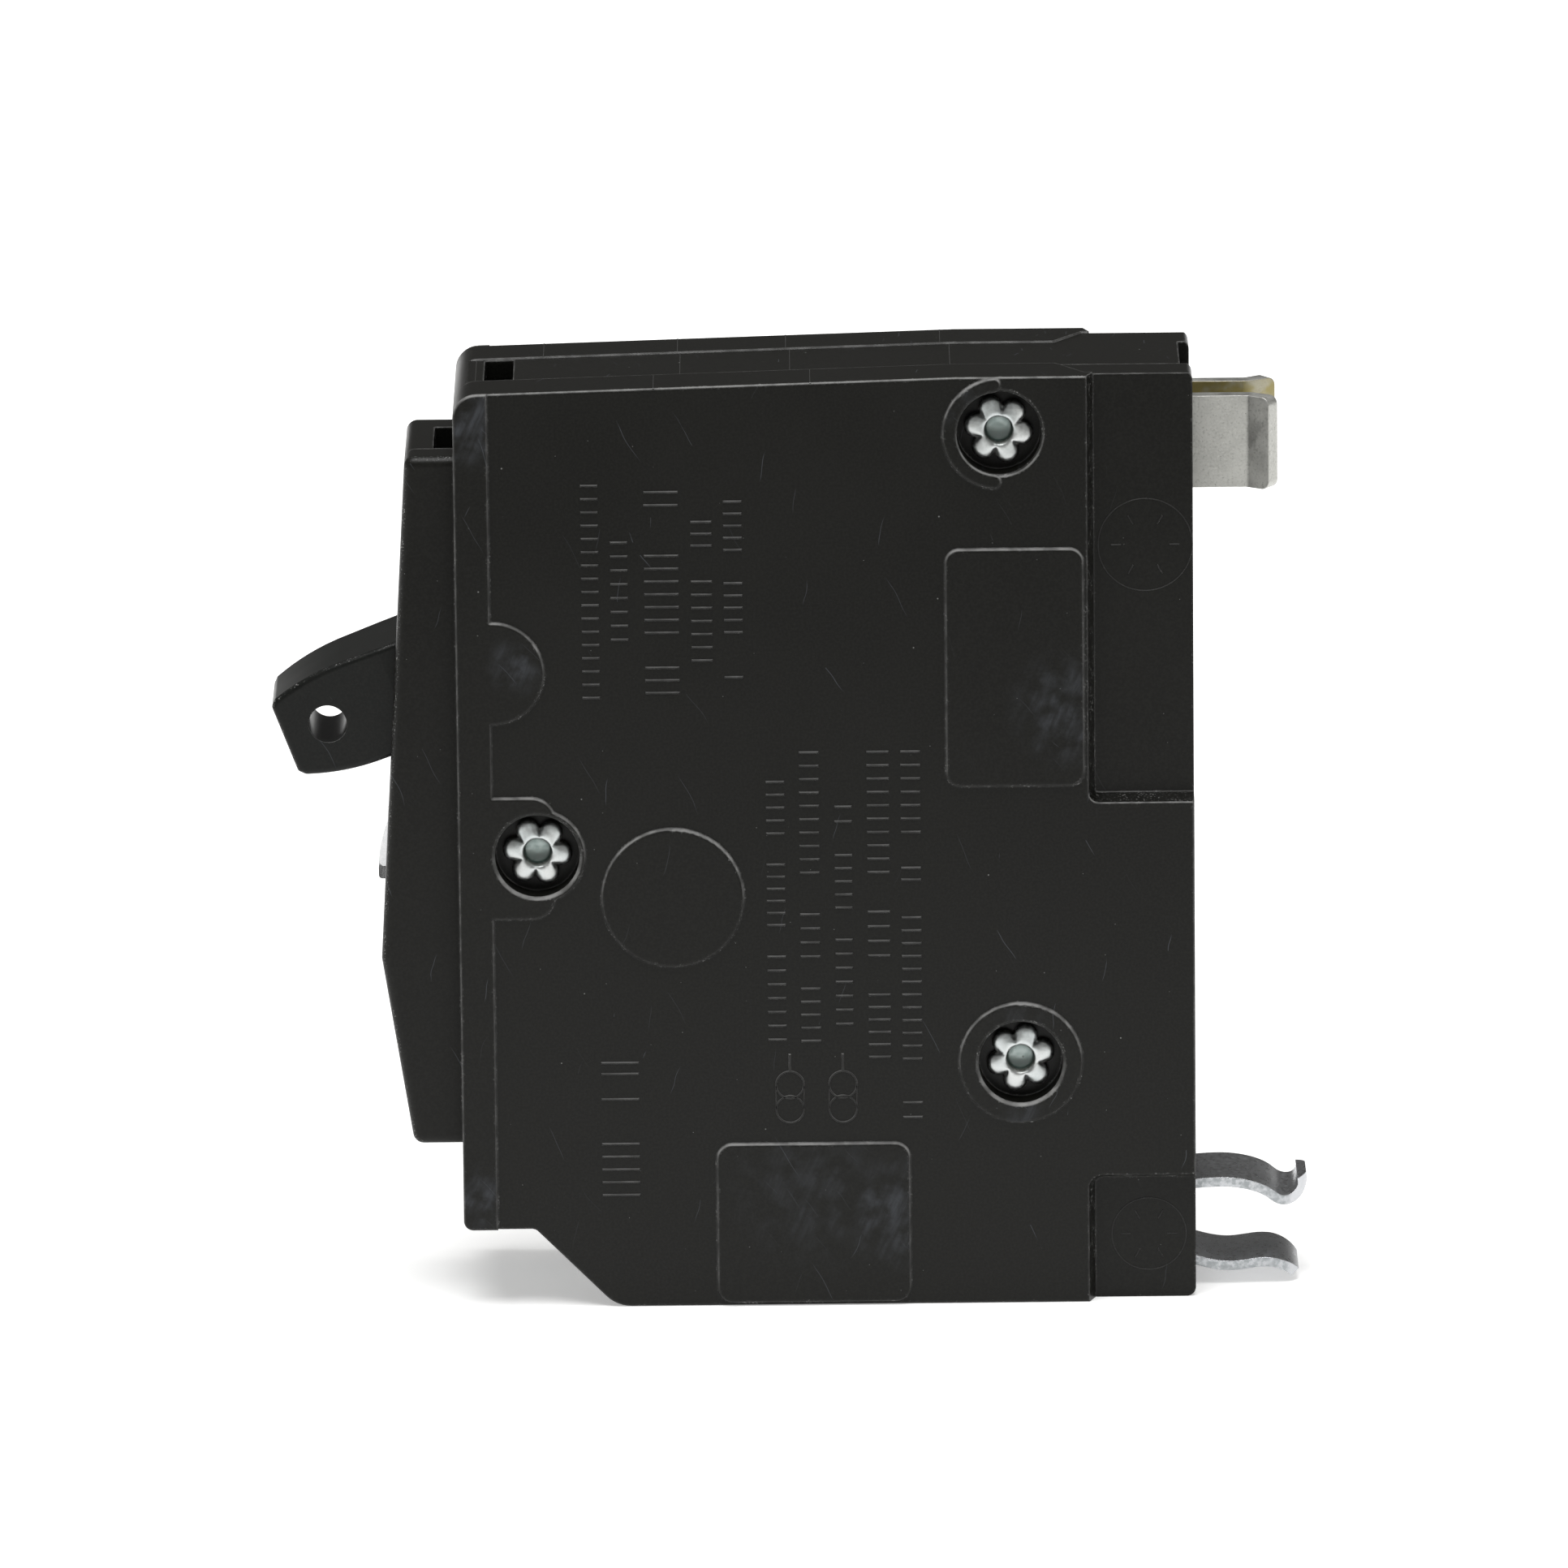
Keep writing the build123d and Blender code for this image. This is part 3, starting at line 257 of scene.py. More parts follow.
# ---------------------------------------------------------------- materials
def moulded(name, base, scuff_places, rounding=0.26 * MM, pale_edge_share=0.75):
    """Black thermoset: fine grain, cloudy sheen, pale edges that are partly wear and partly painted
    highlight (strongest on edges facing up), scuffs, scratches and dust.
    """
    s = Shader(name, 0.0, 0.185)
    cloud = s.noise(14 * MM, 3.0)
    shifted = [c * k for c, k in zip(base, (1.35, 1.35, 1.40))]
    colour = s.mix(s.ramp(cloud, 0.35, 0.7), base, shifted)
    grain = s.noise(0.22 * MM, 2.0)
    colour = s.mix(s.ramp(grain, 0.30, 0.75, 0.0, 0.35), colour, GRAIN)

    rounded = s.rounding(rounding)
    patchy = s.noise(1.3 * MM, 4.0)
    tilt = s.math("ABSOLUTE", s.part_of(rounded, 1))
    level = s.math("ABSOLUTE", s.part_of(s.place, 1))
    rims = s.math("MULTIPLY", s.ramp(level, RIM_LOW, RIM_HIGH), s.ramp(tilt, 0.97, 0.80))
    # pale rims and edges: partly wear, partly painted highlight
    edge_wear_and_highlight = s.math("MAXIMUM", rims, s.edges(rounded, 0.95, 0.78))
    # painted highlight: the pale edges are strongest where the rounded edge faces up, toward the
    # overhead light, and faint where it faces down
    rise = s.part_of(rounded, 2)
    edge_wear_and_highlight = s.math("MULTIPLY", edge_wear_and_highlight, s.ramp(rise, -0.25, 0.55, 0.10, 1.0))
    edge_wear_and_highlight = s.math("MULTIPLY", edge_wear_and_highlight, s.ramp(patchy, 0.35, 0.62, 0.45, 1.0))
    slope = s.math("MULTIPLY", s.ramp(tilt, 0.16, 0.28), s.ramp(tilt, 0.86, 0.70))
    flecks = s.math("MAXIMUM", s.edges(rounded, 0.998, 0.97), slope)
    flecks = s.math("MULTIPLY", flecks, s.ramp(s.noise(0.15 * MM, 2.0), 0.57, 0.68))
    flecks = s.math("MULTIPLY", flecks, s.ramp(patchy, 0.42, 0.60, 0.2, 1.0))
    edge_wear_and_highlight = s.math("MAXIMUM", edge_wear_and_highlight, flecks)

    scuff = 0.0
    for centre, reach, strength in scuff_places:
        here = s.math("MULTIPLY", s.patch(centre, reach), strength)
        scuff = s.math("MAXIMUM", scuff, here)
    scuff = s.math("MULTIPLY", scuff, s.ramp(level, PAD_LOW, PAD_HIGH))
    scored = s.math("MULTIPLY", s.scratches(2.8 * MM, 1.2 * MM, (0, 48, 0), 1.4 * MM, 0.50), scuff)
    brushed = s.noise(0.5 * MM, 4.0, (1.0, 1.0, 0.16), (0, 24, 0))
    smudge = s.ramp(s.noise(1.9 * MM, 5.0), 0.36, 0.66)
    smeared = s.math("MULTIPLY", smudge, s.ramp(brushed, 0.30, 0.72, 0.25, 1.0))
    scuff = s.math("MULTIPLY", scuff, smeared)
    lines = s.scratches(5.0 * MM, 1.1 * MM, (0, 62, 8), 2.6 * MM)
    lines = s.math("MAXIMUM", lines, s.scratches(3.0 * MM, 1.0 * MM, (10, 104, 0), 2.2 * MM))
    lines = s.math("MAXIMUM", lines, scored)
    lint = s.specks(2.1 * MM, 0.085 * MM, 0.24)
    lint = s.math("MAXIMUM", lint, s.specks(0.9 * MM, 0.04 * MM, 0.20))

    colour = s.mix(s.math("MULTIPLY", scuff, 0.50), colour, SCUFF)
    colour = s.mix(s.math("MULTIPLY", lines, 0.50), colour, SCUFF)
    # pale edge colour, partly wear and partly painted highlight
    colour = s.mix(s.math("MULTIPLY", edge_wear_and_highlight, pale_edge_share), colour, PALE_EDGE_WEAR_AND_HIGHLIGHT)
    colour = s.mix(s.math("MULTIPLY", lint, 0.6), colour, DUST)
    roughness = s.ramp(cloud, 0.3, 0.7, 0.30, 0.38)
    roughness = s.math("ADD", roughness, s.math("MULTIPLY", scuff, 0.25))
    normal = s.bump(grain, 0.003 * MM, rounded)
    return s.finish(colour, roughness, normal)


def plated(name, base, tint, roughness, grain=0.42, bore=None, sheared=None):
    """Plated or bare metal: mottled colour, fine dents, brighter edges that are partly wear and
    partly painted highlight, and dark specks.
    A bore colour tints whatever lies deep in a rivet's end on the cover side, and a
    sheared colour the cut edges that face either side of the case."""
    s = Shader(name, 1.0, 0.5)
    cloud = s.noise(3.0 * MM, 4.0)
    colour = s.mix(s.ramp(cloud, 0.35, 0.68), base, tint)
    if bore is not None:
        depth = s.part_of(s.place, 1)
        near_end = s.math("LESS_THAN", depth, 0.0)
        deep = s.math("MULTIPLY", s.ramp(depth, BORE_LOW, BORE_HIGH), near_end)
        slit = s.math("MULTIPLY", s.ramp(depth, PETAL_LOW, PETAL_HIGH), near_end)
        # a darker brown tone on the low parts of the rivet ends, between and around the petals
        low_petal_tone = s.math("MULTIPLY", slit, s.ramp(s.noise(0.22 * MM, 3.0), 0.35, 0.60, 0.35, 0.85))
        colour = s.mix(low_petal_tone, colour, LOW_PETAL_BROWN)
        colour = s.mix(deep, colour, bore)
        colour = s.mix(s.ramp(depth, HEAD_LOW, HEAD_HIGH), colour, FAR_HEAD)
    fine = s.noise(0.35 * MM, 3.0)
    if sheared is not None:
        side = s.math("ABSOLUTE", s.part_of(s.node("ShaderNodeNewGeometry").outputs["Normal"], 1))
        rough_cut = s.math("MULTIPLY", s.ramp(side, 0.8, 0.95), s.ramp(fine, 0.35, 0.62, 0.35, 1.0))
        colour = s.mix(rough_cut, colour, sheared)
    shade = s.ramp(fine, 0.30, 0.72, 1.0 - grain, 1.0)
    colour = s.mix(s.math("SUBTRACT", 1.0, shade), colour, [c * 0.42 for c in base])
    spots = s.specks(1.5 * MM, 0.11 * MM, 0.22)
    colour = s.mix(s.math("MULTIPLY", spots, 0.75), colour, [c * 0.18 for c in base])
    rounded = s.rounding(0.10 * MM)
    # brighter edges: partly wear, partly painted highlight
    edge_wear_and_highlight = s.math("MULTIPLY", s.edges(rounded), s.ramp(fine, 0.25, 0.6))
    colour = s.mix(s.math("MULTIPLY", edge_wear_and_highlight, 0.6), colour, [min(1.0, c * 1.35) for c in base])
    drawn = s.noise(0.16 * MM, 2.0, (0.10, 1.0, 1.0))
    rough = s.ramp(fine, 0.30, 0.75, roughness, roughness + 0.18)
    height = s.math("ADD", s.math("MULTIPLY", fine, 0.7), s.math("MULTIPLY", drawn, 0.3))
    return s.finish(colour, rough, s.bump(height, 0.010 * MM, rounded))


def tinned(name, yellow_place):
    """Matt tin over copper; the far leaf's inner face has gone yellow from heat and grease."""
    s = Shader(name, 1.0, 0.5)
    cloud = s.noise(2.2 * MM, 5.0)
    colour = s.mix(s.ramp(cloud, 0.32, 0.70), TIN, (0.60, 0.60, 0.57))
    fine = s.noise(0.20 * MM, 3.0)
    colour = s.mix(s.ramp(fine, 0.52, 0.74, 0.0, 0.6), colour, (0.64, 0.64, 0.61))
    colour = s.mix(s.ramp(fine, 0.46, 0.30, 0.0, 0.5), colour, (0.30, 0.30, 0.28))
    blotches = s.ramp(s.noise(1.6 * MM, 4.0), 0.30, 0.62)
    stain = s.math("MULTIPLY", s.patch(yellow_place, 9.0 * MM), blotches)
    facing = s.part_of(s.node("ShaderNodeNewGeometry").outputs["Normal"], 1)
    inner = s.ramp(s.math("MULTIPLY", facing, -1.0), 0.3, 0.8)
    inner = s.math("MULTIPLY", inner, s.math("GREATER_THAN", s.part_of(s.place, 1), 0.0))
    yellow = s.math("MULTIPLY", inner, s.ramp(stain, 0.0, 1.0, 0.45, 1.0))
    colour = s.mix(yellow, colour, YELLOWED)
    spots = s.specks(1.3 * MM, 0.10 * MM, 0.3)
    spots = s.math("MAXIMUM", spots, s.specks(0.5 * MM, 0.05 * MM, 0.3))
    colour = s.mix(s.math("MULTIPLY", spots, 0.7), colour, (0.10, 0.09, 0.075))
    rounded = s.rounding(0.12 * MM)
    # paler edges: partly wear, partly painted highlight
    edge_wear_and_highlight = s.math("MULTIPLY", s.edges(rounded), 0.55)
    colour = s.mix(edge_wear_and_highlight, colour, (0.70, 0.69, 0.66))
    rough = s.ramp(cloud, 0.3, 0.7, 0.42, 0.60)
    return s.finish(colour, rough, s.bump(fine, 0.016 * MM, rounded))


def clear_lens(name):
    """Clear moulded plastic with a faint smoky haze and fine wear."""
    s = Shader(name, 0.0, 0.5)
    haze = s.ramp(s.noise(1.2 * MM, 4.0), 0.35, 0.75)
    colour = s.mix(haze, LENS_CLEAR, LENS_HAZE)
    s.surface.inputs["Transmission Weight"].default_value = 0.85
    s.surface.inputs["IOR"].default_value = 1.49
    rough = s.ramp(s.noise(0.5 * MM, 3.0), 0.3, 0.7, 0.03, 0.12)
    return s.finish(colour, rough, s.bump(haze, 0.01 * MM))


def painted(name, base, roughness):
    """Smooth moulded or painted piece with slight mottling and paler edges, partly wear and partly
    painted highlight.
    """
    s = Shader(name, 0.0, 0.4)
    cloud = s.noise(2.5 * MM, 4.0)
    colour = s.mix(s.ramp(cloud, 0.3, 0.7), base, [min(1.0, c * 1.3 + 0.01) for c in base])
    fine = s.noise(0.25 * MM, 3.0)
    rounded = s.rounding(0.10 * MM)
    # paler edges: partly wear, partly painted highlight
    edge_wear_and_highlight = s.math("MULTIPLY", s.edges(rounded), s.ramp(fine, 0.35, 0.65))
    colour = s.mix(s.math("MULTIPLY", edge_wear_and_highlight, 0.5), colour, [min(1.0, c * 1.8 + 0.05) for c in base])
    rough = s.ramp(fine, 0.3, 0.7, roughness, roughness + 0.15)
    return s.finish(colour, rough, s.bump(fine, 0.008 * MM, rounded))


def fibre_board(name):
    """Pressed vulcanised fibre with short strands."""
    s = Shader(name, 0.0, 0.3)
    strands = s.noise(0.5 * MM, 4.0, (1.0, 1.0, 0.25))
    colour = s.mix(s.ramp(strands, 0.35, 0.65), FIBRE, (0.55, 0.22, 0.12))
    rough = s.ramp(strands, 0.3, 0.7, 0.6, 0.8)
    return s.finish(colour, rough, s.bump(strands, 0.02 * MM))


def woven_copper(name):
    """Bare copper braid: two sets of slanting strands, with painted shade in the low places between
    them.
    """
    s = Shader(name, 1.0, 0.5)
    height = 0.0
    for turn in (38, -38):
        strands = s.noise(0.35 * MM, 1.0, (0.2, 1.0, 1.0), (0, turn, turn))
        height = s.math("MAXIMUM", height, strands)
    # painted shade: the copper is darker in the low places between the strands
    colour = s.mix(s.ramp(height, 0.45, 0.65), (0.30, 0.12, 0.06), COPPER)
    rough = s.ramp(height, 0.4, 0.7, 0.45, 0.28)
    return s.finish(colour, rough, s.bump(height, 0.05 * MM))


def scuffed_places():
    """Where the near side has rubbed: (centre, reach, strength) of each patch."""
    y = cover_low.y
    strip_x = -26.0 * MM
    return [
        ((strip_x, y, cover_high.z - 3.5 * MM), 4.5 * MM, 0.9),
        ((strip_x, y, case_low.z + 9.5 * MM), 3.5 * MM, 0.7),
        ((-22.6 * MM, y, 55.0 * MM), 3.0 * MM, 0.8),
        ((23.2 * MM, y, 51.0 * MM), 6.0 * MM, 0.8),
        ((8.6 * MM, y, 8.0 * MM), 6.0 * MM, 0.8),
        ((1.5 * MM, y, 10.0 * MM), 8.0 * MM, 0.35),
        ((14.5 * MM, y, 77.0 * MM), 2.6 * MM, 0.8),
        ((19.0 * MM, y, 24.6 * MM), 2.6 * MM, 0.5),
        ((19.0 * MM, y, 16.8 * MM), 2.2 * MM, 0.7),
    ]


def paint_nodes():
    """Gives every CAD node its procedural material."""
    case = moulded("case_thermoset", BLACK, scuffed_places())
    handle = moulded("handle_thermoset", HANDLE_BLACK, [], 0.14 * MM)
    zinc = plated("zinc_plate", ZINC, (0.50, 0.56, 0.60), 0.22)
    rivet_zinc = plated(
        "zinc_rivet", (0.70, 0.72, 0.71), (0.60, 0.64, 0.64), 0.28, grain=0.34, bore=BORE)
    spring_zinc = plated(
        "zinc_spring_strip", (0.60, 0.61, 0.63), (0.54, 0.55, 0.57), 0.26, grain=0.14,
        sheared=(0.34, 0.36, 0.37))
    steel = plated("bare_steel", STEEL, (0.36, 0.35, 0.35), 0.30)
    copper = plated("bare_copper", COPPER, (0.58, 0.28, 0.18), 0.28)
    silver = plated("contact_silver", SILVER, (0.70, 0.69, 0.66), 0.25)
    tin = tinned("tinned_copper", (36.0 * MM, 2.5 * MM, jaw_high.z))
    finish = {
        "base_case": case,
        "cover_case": case,
        "handle": handle,
        "case_rivets": rivet_zinc,
        "trip_window_lens": clear_lens("lens_clear"),
        "contact_arm": copper,
        "moving_contact": silver,
        "contact_arm_pin": steel,
        "stationary_contact": silver,
        "line_strap": copper,
        "line_jaw": tin,
        "arc_plates": steel,
        "arc_liner": fibre_board("vulcanised_fibre"),
        "trip_lever": steel,
        "trip_flag": painted("flag_orange", FLAG, 0.35),
        "bimetal": plated("bimetal_strip", (0.62, 0.52, 0.40), (0.50, 0.42, 0.34), 0.30),
        "magnet_yoke": zinc,
        "armature": zinc,
        "shunt_braid": woven_copper("copper_braid"),
        "toggle_spring": steel,
        "armature_spring": steel,
        "load_terminal": tin,
        "clamp_plate": zinc,
        "terminal_screw": zinc,
        "calibration_screw": steel,
        "rail_clip": spring_zinc,
    }
    # raised marks are painted lighter than the case: partly wear, partly painted highlight
    marks = moulded("worn_and_highlit_marks", WORN_AND_HIGHLIT_BLACK, [], 0.06 * MM, pale_edge_share=0.28)
    flash = moulded("flash_lines", FLASH, [], 0.04 * MM)
    for name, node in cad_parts.items():
        node.data.materials.clear()
        node.data.materials.append(finish[name])
    return finish, marks, flash


# ---------------------------------------------------------------- detail pieces
SINK = 0.03 * MM                       # raised marks reach this far into their face


def new_piece(name, bm, material, smooth=False):
    """Turns a bmesh in the row frame into a piece that rides the case."""
    bmesh.ops.recalc_face_normals(bm, faces=bm.faces)
    mesh = bpy.data.meshes.new(name)
    bm.to_mesh(mesh)
    bm.free()
    for polygon in mesh.polygons:
        polygon.use_smooth = smooth
    mesh.materials.append(material)
    piece = bpy.data.objects.new(name, mesh)
    bpy.context.scene.collection.objects.link(piece)
    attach(piece, "case")
    return piece


def raised_bar(bm, centre, along, up, length, width, height):
    """A low bar with sloping sides, sunk slightly into the face that it stands on."""
    across = up.cross(along)
    rows = []
    for level, trim in ((-SINK, 0.0), (height, 0.35 * width)):
        ring = []
        for a, b in ((-1, -1), (1, -1), (1, 1), (-1, 1)):
            offset = along * (a * (length / 2 - trim)) + across * (b * (width / 2 - trim))
            ring.append(bm.verts.new(centre + offset + up * level))
        rows.append(ring)
    bm.faces.new(rows[0])
    bm.faces.new(rows[1])
    for i in range(4):
        j = (i + 1) % 4
        bm.faces.new((rows[0][i], rows[0][j], rows[1][j], rows[1][i]))


def raised_ring(bm, centre, up, side, radius, width, height):
    """A low round ridge on a face."""
    across = up.cross(side)
    parts = 96
    profile = ((-width / 2, -SINK), (-width / 4, height), (width / 4, height), (width / 2, -SINK))
    rings = []
    for i in range(parts):
        t = math.radians(360 * i / parts)
        out = side * math.cos(t) + across * math.sin(t)
        rings.append([bm.verts.new(centre + out * (radius + r) + up * h) for r, h in profile])
    for i in range(parts):
        a, b = rings[i], rings[(i + 1) % parts]
        for j in range(4):
            k = (j + 1) % 4
            bm.faces.new((a[j], b[j], b[k], a[k]))


def rating_marks(material):
    """Rows of plain raised ticks where a real case carries its moulded-in rating block."""
    bm = bmesh.new()
    # each row: distance along X, tick length, then the Z of both ends of each group of ticks
    rows = [
        (-16.3, 1.5, [(51.7, 70.8)]),
        (-13.9, 1.5, [(56.6, 66.0)]),
        (-10.4, 2.9, [(52.1, 55.3), (57.2, 64.8), (68.0, 70.2)]),
        (-7.1, 1.8, [(54.8, 62.6), (64.6, 67.6)]),
        (-4.5, 1.6, [(53.2, 54.6), (57.2, 62.4), (64.2, 69.3)]),
        (-14.3, 3.2, [(9.1, 14.6), (17.6, 18.2), (19.6, 21.5)]),
        (-1.2, 1.6, [(22.3, 30.6), (32.2, 38.4), (40.0, 45.5)]),
        (1.6, 1.7, [(22.2, 27.8), (29.4, 34.2), (36.6, 48.0)]),
        (4.4, 1.5, [(23.6, 32.0), (33.6, 39.2), (40.9, 43.4)]),
        (7.3, 1.9, [(20.8, 27.2), (29.4, 34.4), (36.6, 48.0)]),
        (10.0, 1.7, [(15.5, 18.0), (20.6, 33.8), (36.0, 38.0), (40.0, 48.0)]),
    ]
    pitch, width, height = 1.12, 0.26 * MM, 0.14 * MM
    for x, tall, groups in rows:
        for low, high in groups:
            count = max(1, round((high - low) / pitch))
            for i in range(count):
                z = low + (i + 0.5) * (high - low) / count
                centre = Vector((x * MM, PANEL_Y, z * MM))
                raised_bar(bm, centre, ALONG_X, TOWARD, tall * MM, width, height)
    new_piece("rating_ticks", bm, material)


def wire_symbols(material):
    """Two raised outline symbols of a stripped wire end, beside the wire-size rows."""
    bm = bmesh.new()
    radius, width, height = 1.15, 0.2 * MM, 0.1 * MM
    low_end, high_end = 16.9, 19.0
    for x in (-0.2, 4.2):
        for z in (low_end, high_end):
            centre = Vector((x * MM, PANEL_Y, z * MM))
            raised_ring(bm, centre, TOWARD, ALONG_X, radius * MM, width, height)
        for side in (-radius, radius):
            centre = Vector(((x + side) * MM, PANEL_Y, (low_end + high_end) / 2 * MM))
            raised_bar(bm, centre, ALONG_Z, TOWARD, (high_end - low_end) * MM, width, height)
        centre = Vector((x * MM, PANEL_Y, 20.9 * MM))
        raised_bar(bm, centre, ALONG_Z, TOWARD, 1.6 * MM, 1.5 * width, height)
    new_piece("wire_symbols", bm, material)


def mould_dials(material):
    """Faint raised circles left by mould inserts on the recess floors, with plain index ticks."""
    bm = bmesh.new()
    ticks, tick_place, tick_length = 6, 0.62, 0.9 * MM
    for x, z, radius in ((29.55, 64.45, 3.9), (29.6, 5.45, 3.1)):
        centre = Vector((x * MM, RECESS_Y, z * MM))
        raised_ring(bm, centre, TOWARD, ALONG_X, radius * MM, 0.12 * MM, 0.05 * MM)
        for i in range(ticks):
            t = math.radians(360 / ticks * i)
            out = Vector((math.cos(t), 0, math.sin(t)))
            middle = centre + out * radius * tick_place * MM
            raised_bar(bm, middle, out, TOWARD, tick_length, 0.16 * MM, 0.06 * MM)
    new_piece("mould_dials", bm, material)


def seam_lines(material):
    """Fine flash lines across the three strips of the line-end wall."""
    strip_y = 6.7 * MM
    # each strip: Y of its middle, length of its lines, their X, and how far it lies below the top
    strips = (
        (strip_y, 5.0, (-20.05, -8.93, 0.05, 12.86), 0.0),
        (0.0, 8.1, (-25.6, -8.7, 0.37, 13.6), 0.15),
        (-strip_y, 5.0, (-10.88, 2.02), 0.0),
    )
    slope_end_x, slope = 14.0, 1.1 / 41.45
    width, height = 0.16 * MM, 0.02 * MM
    bm = bmesh.new()
    for y, length, places, step in strips:
        for x in places:
            fall = max(0.0, (slope_end_x - x) * slope)
            centre = Vector((x * MM, y, case_high.z - (fall + step) * MM - height))
            raised_bar(bm, centre, ALONG_Y, ALONG_Z, length * MM, width, height)
    new_piece("seam_lines", bm, material)


def petal_reach(turn):
    """Outline of a rivet end slit into six long petals: distance from the centre at that angle."""
    arm, half = 1.88, 1.02
    off = abs(math.radians((turn % 60) - 30))
    tip_edge = math.atan2(half, arm)
    if off >= tip_edge:
        return half / math.sin(off)
    return arm * math.cos(off) + math.sqrt(half ** 2 - (arm * math.sin(off)) ** 2)


def rivet_rings(start_turn):
    """Profile rings of one tubular rivet, from the bottom of its bore to the far head's centre.
    Each ring is (function of angle -> radius, function of angle -> depth along Y), in mm."""
    well = 7.0
    bore = 1.18
    shank = 1.55
    rings = [
        (lambda t: 0.25, lambda t: -well + 0.55),
        (lambda t: bore - 0.22, lambda t: -well + 0.5),
        (lambda t: bore - 0.03, lambda t: -well + 0.28),
    ]
    steps = 12
    for i in range(steps + 1):
        u = i / steps

        def radius(t, u=u):
            return bore + (petal_reach(t - start_turn) - bore) * u

        def depth(t, u=u):
            crest = max(0.0, math.cos(math.radians(((t - start_turn) % 60) - 30) * 3)) ** 0.45
            split = min(1.0, 2.0 * u * u)
            crown = 1.0 - 0.50 * split * (1 - crest)
            bulge = (1 - abs(2 * (0.13 + 0.81 * u) - 1) ** 5.0) ** 0.6
            return -well - 0.12 - crown * bulge * (1 - 0.14 * u)

        rings.append((radius, depth))
    rings.append((lambda t: 0.97 * petal_reach(t - start_turn), lambda t: -well + 0.02))
    far_head = ((2.86, 0.02), (2.92, 0.35), (2.8, 0.75), (2.4, 1.05), (1.6, 1.17), (0.3, 1.2))
    rings.append((lambda t: shank, lambda t: -well + 0.1))
    for r, y in ((shank, 0.02),) + far_head:
        rings.append((lambda t, r=r: r, lambda t, y=y: well + y))
    return rings


def rivets(material):
    """Three tubular rivets: six petals turned over on the cover side, a round head on the other."""
    reach = 2.9 * MM
    front, back = rivets_low.x + reach, rivets_high.x - reach
    bottom, top = rivets_low.z + reach, rivets_high.z - reach
    # each rivet: X and Z of its middle, then the angle that its petals start from
    centres = [(front, 38.83 * MM, 24.0), (17.53 * MM, top, 20.0), (back, bottom, 46.0)]
    parts = 120
    bm = bmesh.new()
    for x, z, start_turn in centres:
        grid = []
        for radius, depth in rivet_rings(start_turn):
            ring = []
            for i in range(parts):
                t = 360 * i / parts
                out = radius(t) * MM
                side, rise = math.cos(math.radians(t)), math.sin(math.radians(t))
                ring.append(bm.verts.new((x + out * side, depth(t) * MM, z + out * rise)))
            grid.append(ring)
        for a, b in zip(grid, grid[1:]):
            for i in range(parts):
                j = (i + 1) % parts
                bm.faces.new((a[i], a[j], b[j], b[i]))
        bm.faces.new(grid[0])
        bm.faces.new(grid[-1])
    piece = new_piece("tubular_rivets", bm, material, smooth=True)
    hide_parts("case_rivets")


# ---------------------------------------------------------------- stage
def stage_floor():
    """A large pale floor whose edge the camera never sees. It glows a little with its own colour,
    as painted light that washes out the shadows on it, and carries painted shade in front of the
    object.
    """
    half = 6.0
    bm = bmesh.new()
    corners = ((-half, -half), (half, -half), (half, half), (-half, half))
    bm.faces.new([bm.verts.new((x, y, FLOOR_Z)) for x, y in corners])
    mesh = bpy.data.meshes.new("floor")
    bm.to_mesh(mesh)
    bm.free()
    floor = bpy.data.objects.new("floor", mesh)
    bpy.context.scene.collection.objects.link(floor)
    s = Shader("pale_floor", 0.0, 0.1)
    colour = s.mix(s.noise(120 * MM, 2.0), (0.90, 0.90, 0.895), (0.92, 0.92, 0.918))
    # painted shade: the floor is painted dark grey in front of the object, as if less light fell
    # there, so the near side reflects less
    painted_shade_in_front = s.ramp(s.part_of(s.place, 1), -100 * MM, -320 * MM)
    colour = s.mix(painted_shade_in_front, colour, (0.36, 0.36, 0.35))
    # painted light: the floor glows with its own colour, which washes out the shadows cast on it
    # and lights the object a little
    s.put(colour, s.surface.inputs["Emission Color"])
    s.surface.inputs["Emission Strength"].default_value = 0.42
    mesh.materials.append(s.finish(colour, 0.9, s.bump(s.noise(3 * MM), 0.02 * MM)))


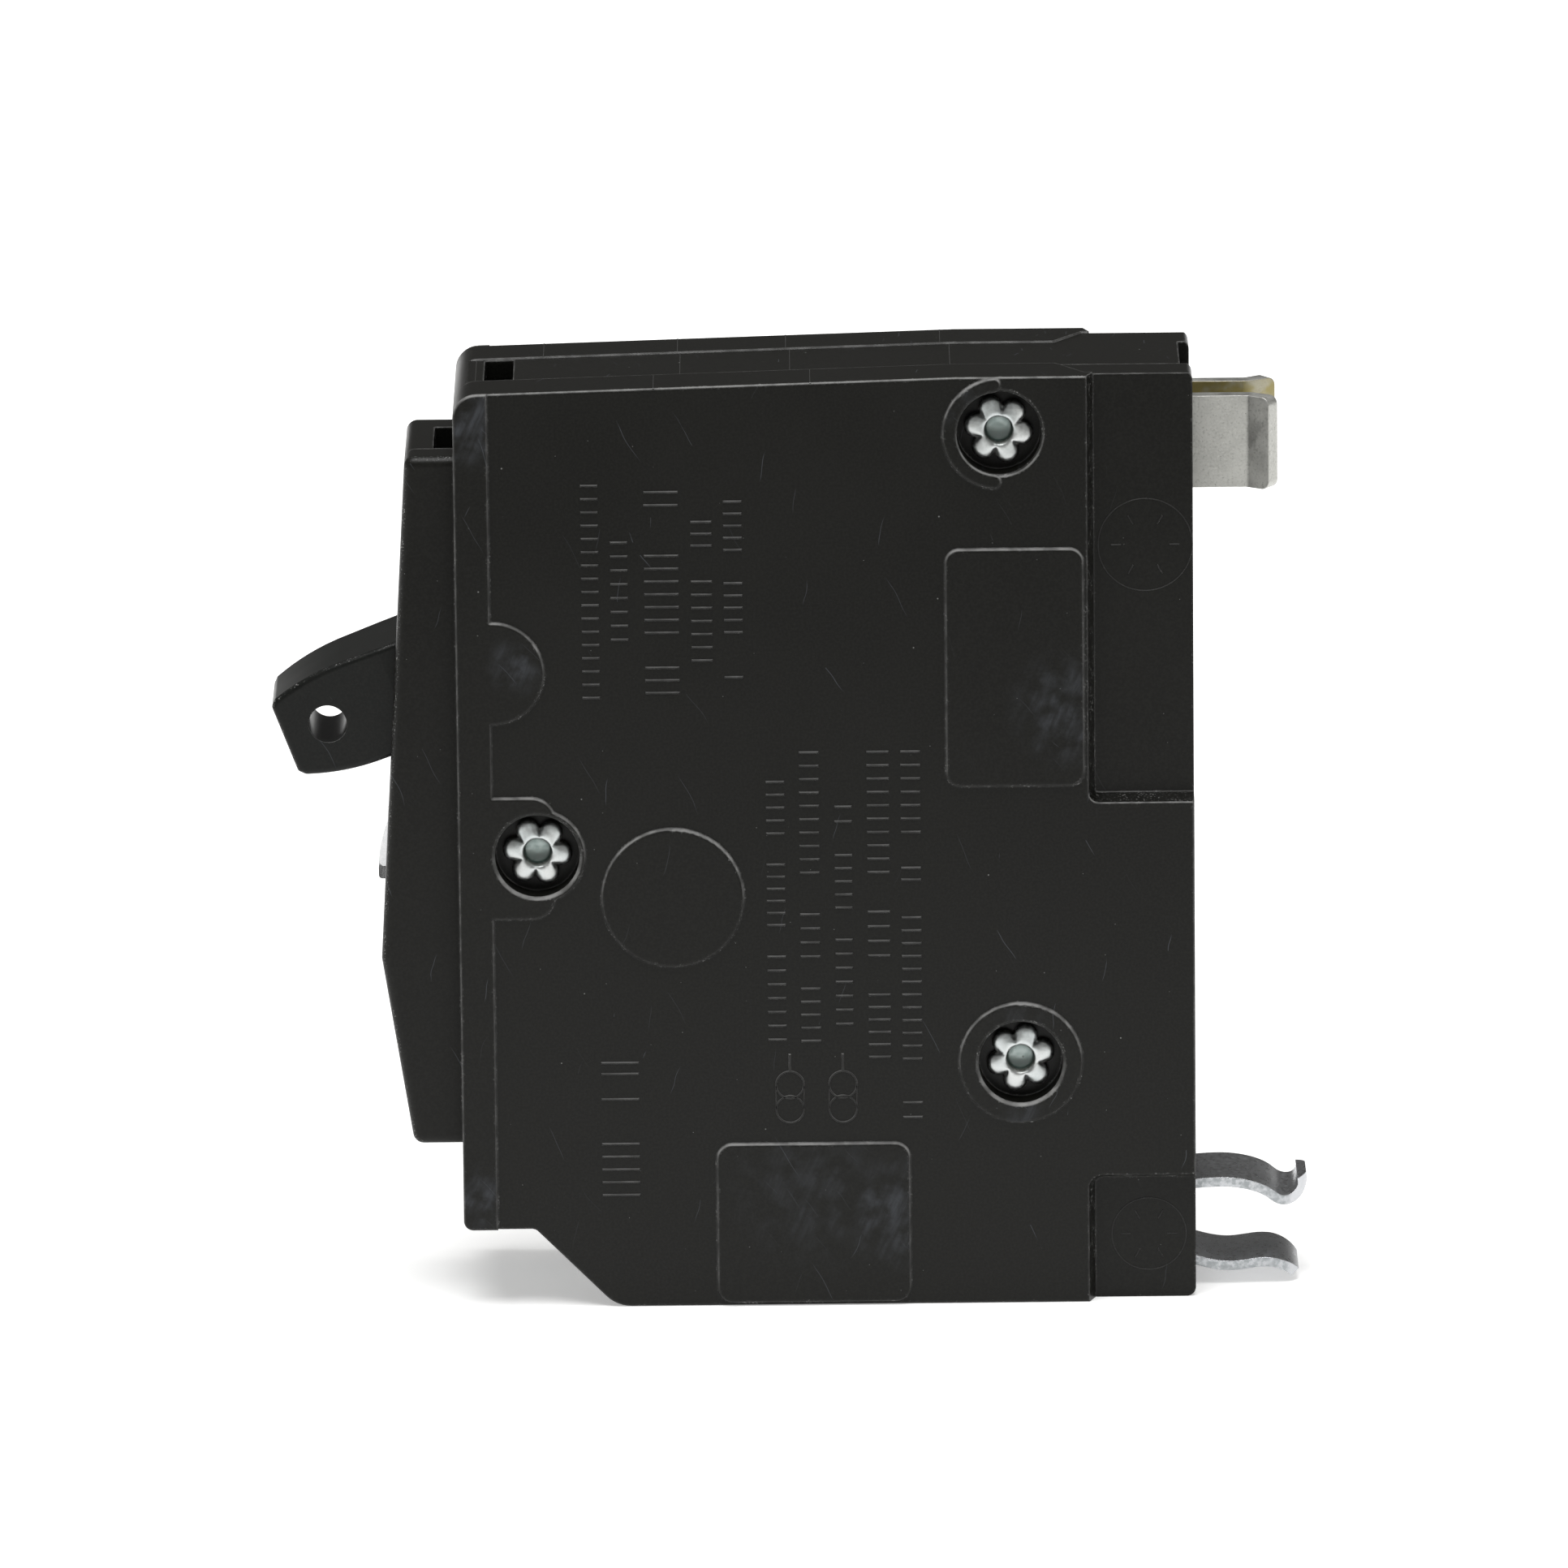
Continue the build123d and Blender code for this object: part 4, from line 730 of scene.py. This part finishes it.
def studio_light():
    """A wide overhead softbox, and a dim room that the metal and the top faces reflect."""
    scene = bpy.context.scene
    light = bpy.data.lights.new("overhead", "SUN")
    light.energy = 3.0
    light.angle = math.radians(42)
    sun = bpy.data.objects.new("overhead", light)
    sun.rotation_euler = (math.radians(10), math.radians(-6), 0)
    scene.collection.objects.link(sun)
    scene.world = bpy.data.worlds.new("room")
    scene.world.use_nodes = True
    tree = scene.world.node_tree
    back = tree.nodes["Background"]
    back.inputs["Color"].default_value = (1.0, 0.99, 0.965, 1)
    facing = tree.nodes.new("ShaderNodeTexCoord")
    parts = tree.nodes.new("ShaderNodeSeparateXYZ")
    dim = tree.nodes.new("ShaderNodeMapRange")
    tree.links.new(facing.outputs["Generated"], parts.inputs[0])
    tree.links.new(parts.outputs[1], dim.inputs["Value"])
    limits = {"From Min": 0.55, "From Max": 0.90, "To Min": 0.30, "To Max": 0.10}
    for socket, number in limits.items():
        dim.inputs[socket].default_value = number
    tree.links.new(dim.outputs[0], back.inputs["Strength"])
    scene.view_settings.view_transform = "Standard"


def camera():
    """A long lens from slightly above, square to the cover side."""
    distance = 1440.2 * MM
    pitch, roll = math.radians(14.096), math.radians(-0.573)
    aim = Vector((-0.45 * MM, cover_low.y, 44.85 * MM))
    forward = Vector((0, math.cos(pitch), -math.sin(pitch)))
    level_up = ALONG_X.cross(forward)
    right = ALONG_X * math.cos(roll) + level_up * math.sin(roll)
    up = level_up * math.cos(roll) - ALONG_X * math.sin(roll)
    data = bpy.data.cameras.new("camera")
    data.sensor_width = 36.0
    data.lens = 399.86
    data.clip_start = 0.05
    data.clip_end = 50.0
    eye = bpy.data.objects.new("camera", data)
    axes = Matrix((right, up, -forward)).transposed().to_4x4()
    eye.matrix_world = Matrix.Translation(aim - forward * distance) @ axes
    bpy.context.scene.collection.objects.link(eye)
    bpy.context.scene.camera = eye


camera()
studio_light()
stage_floor()
materials, worn_and_highlit_marks, flash_marks = paint_nodes()
rivets(materials["case_rivets"])
rating_marks(worn_and_highlit_marks)
wire_symbols(worn_and_highlit_marks)
mould_dials(worn_and_highlit_marks)
seam_lines(flash_marks)
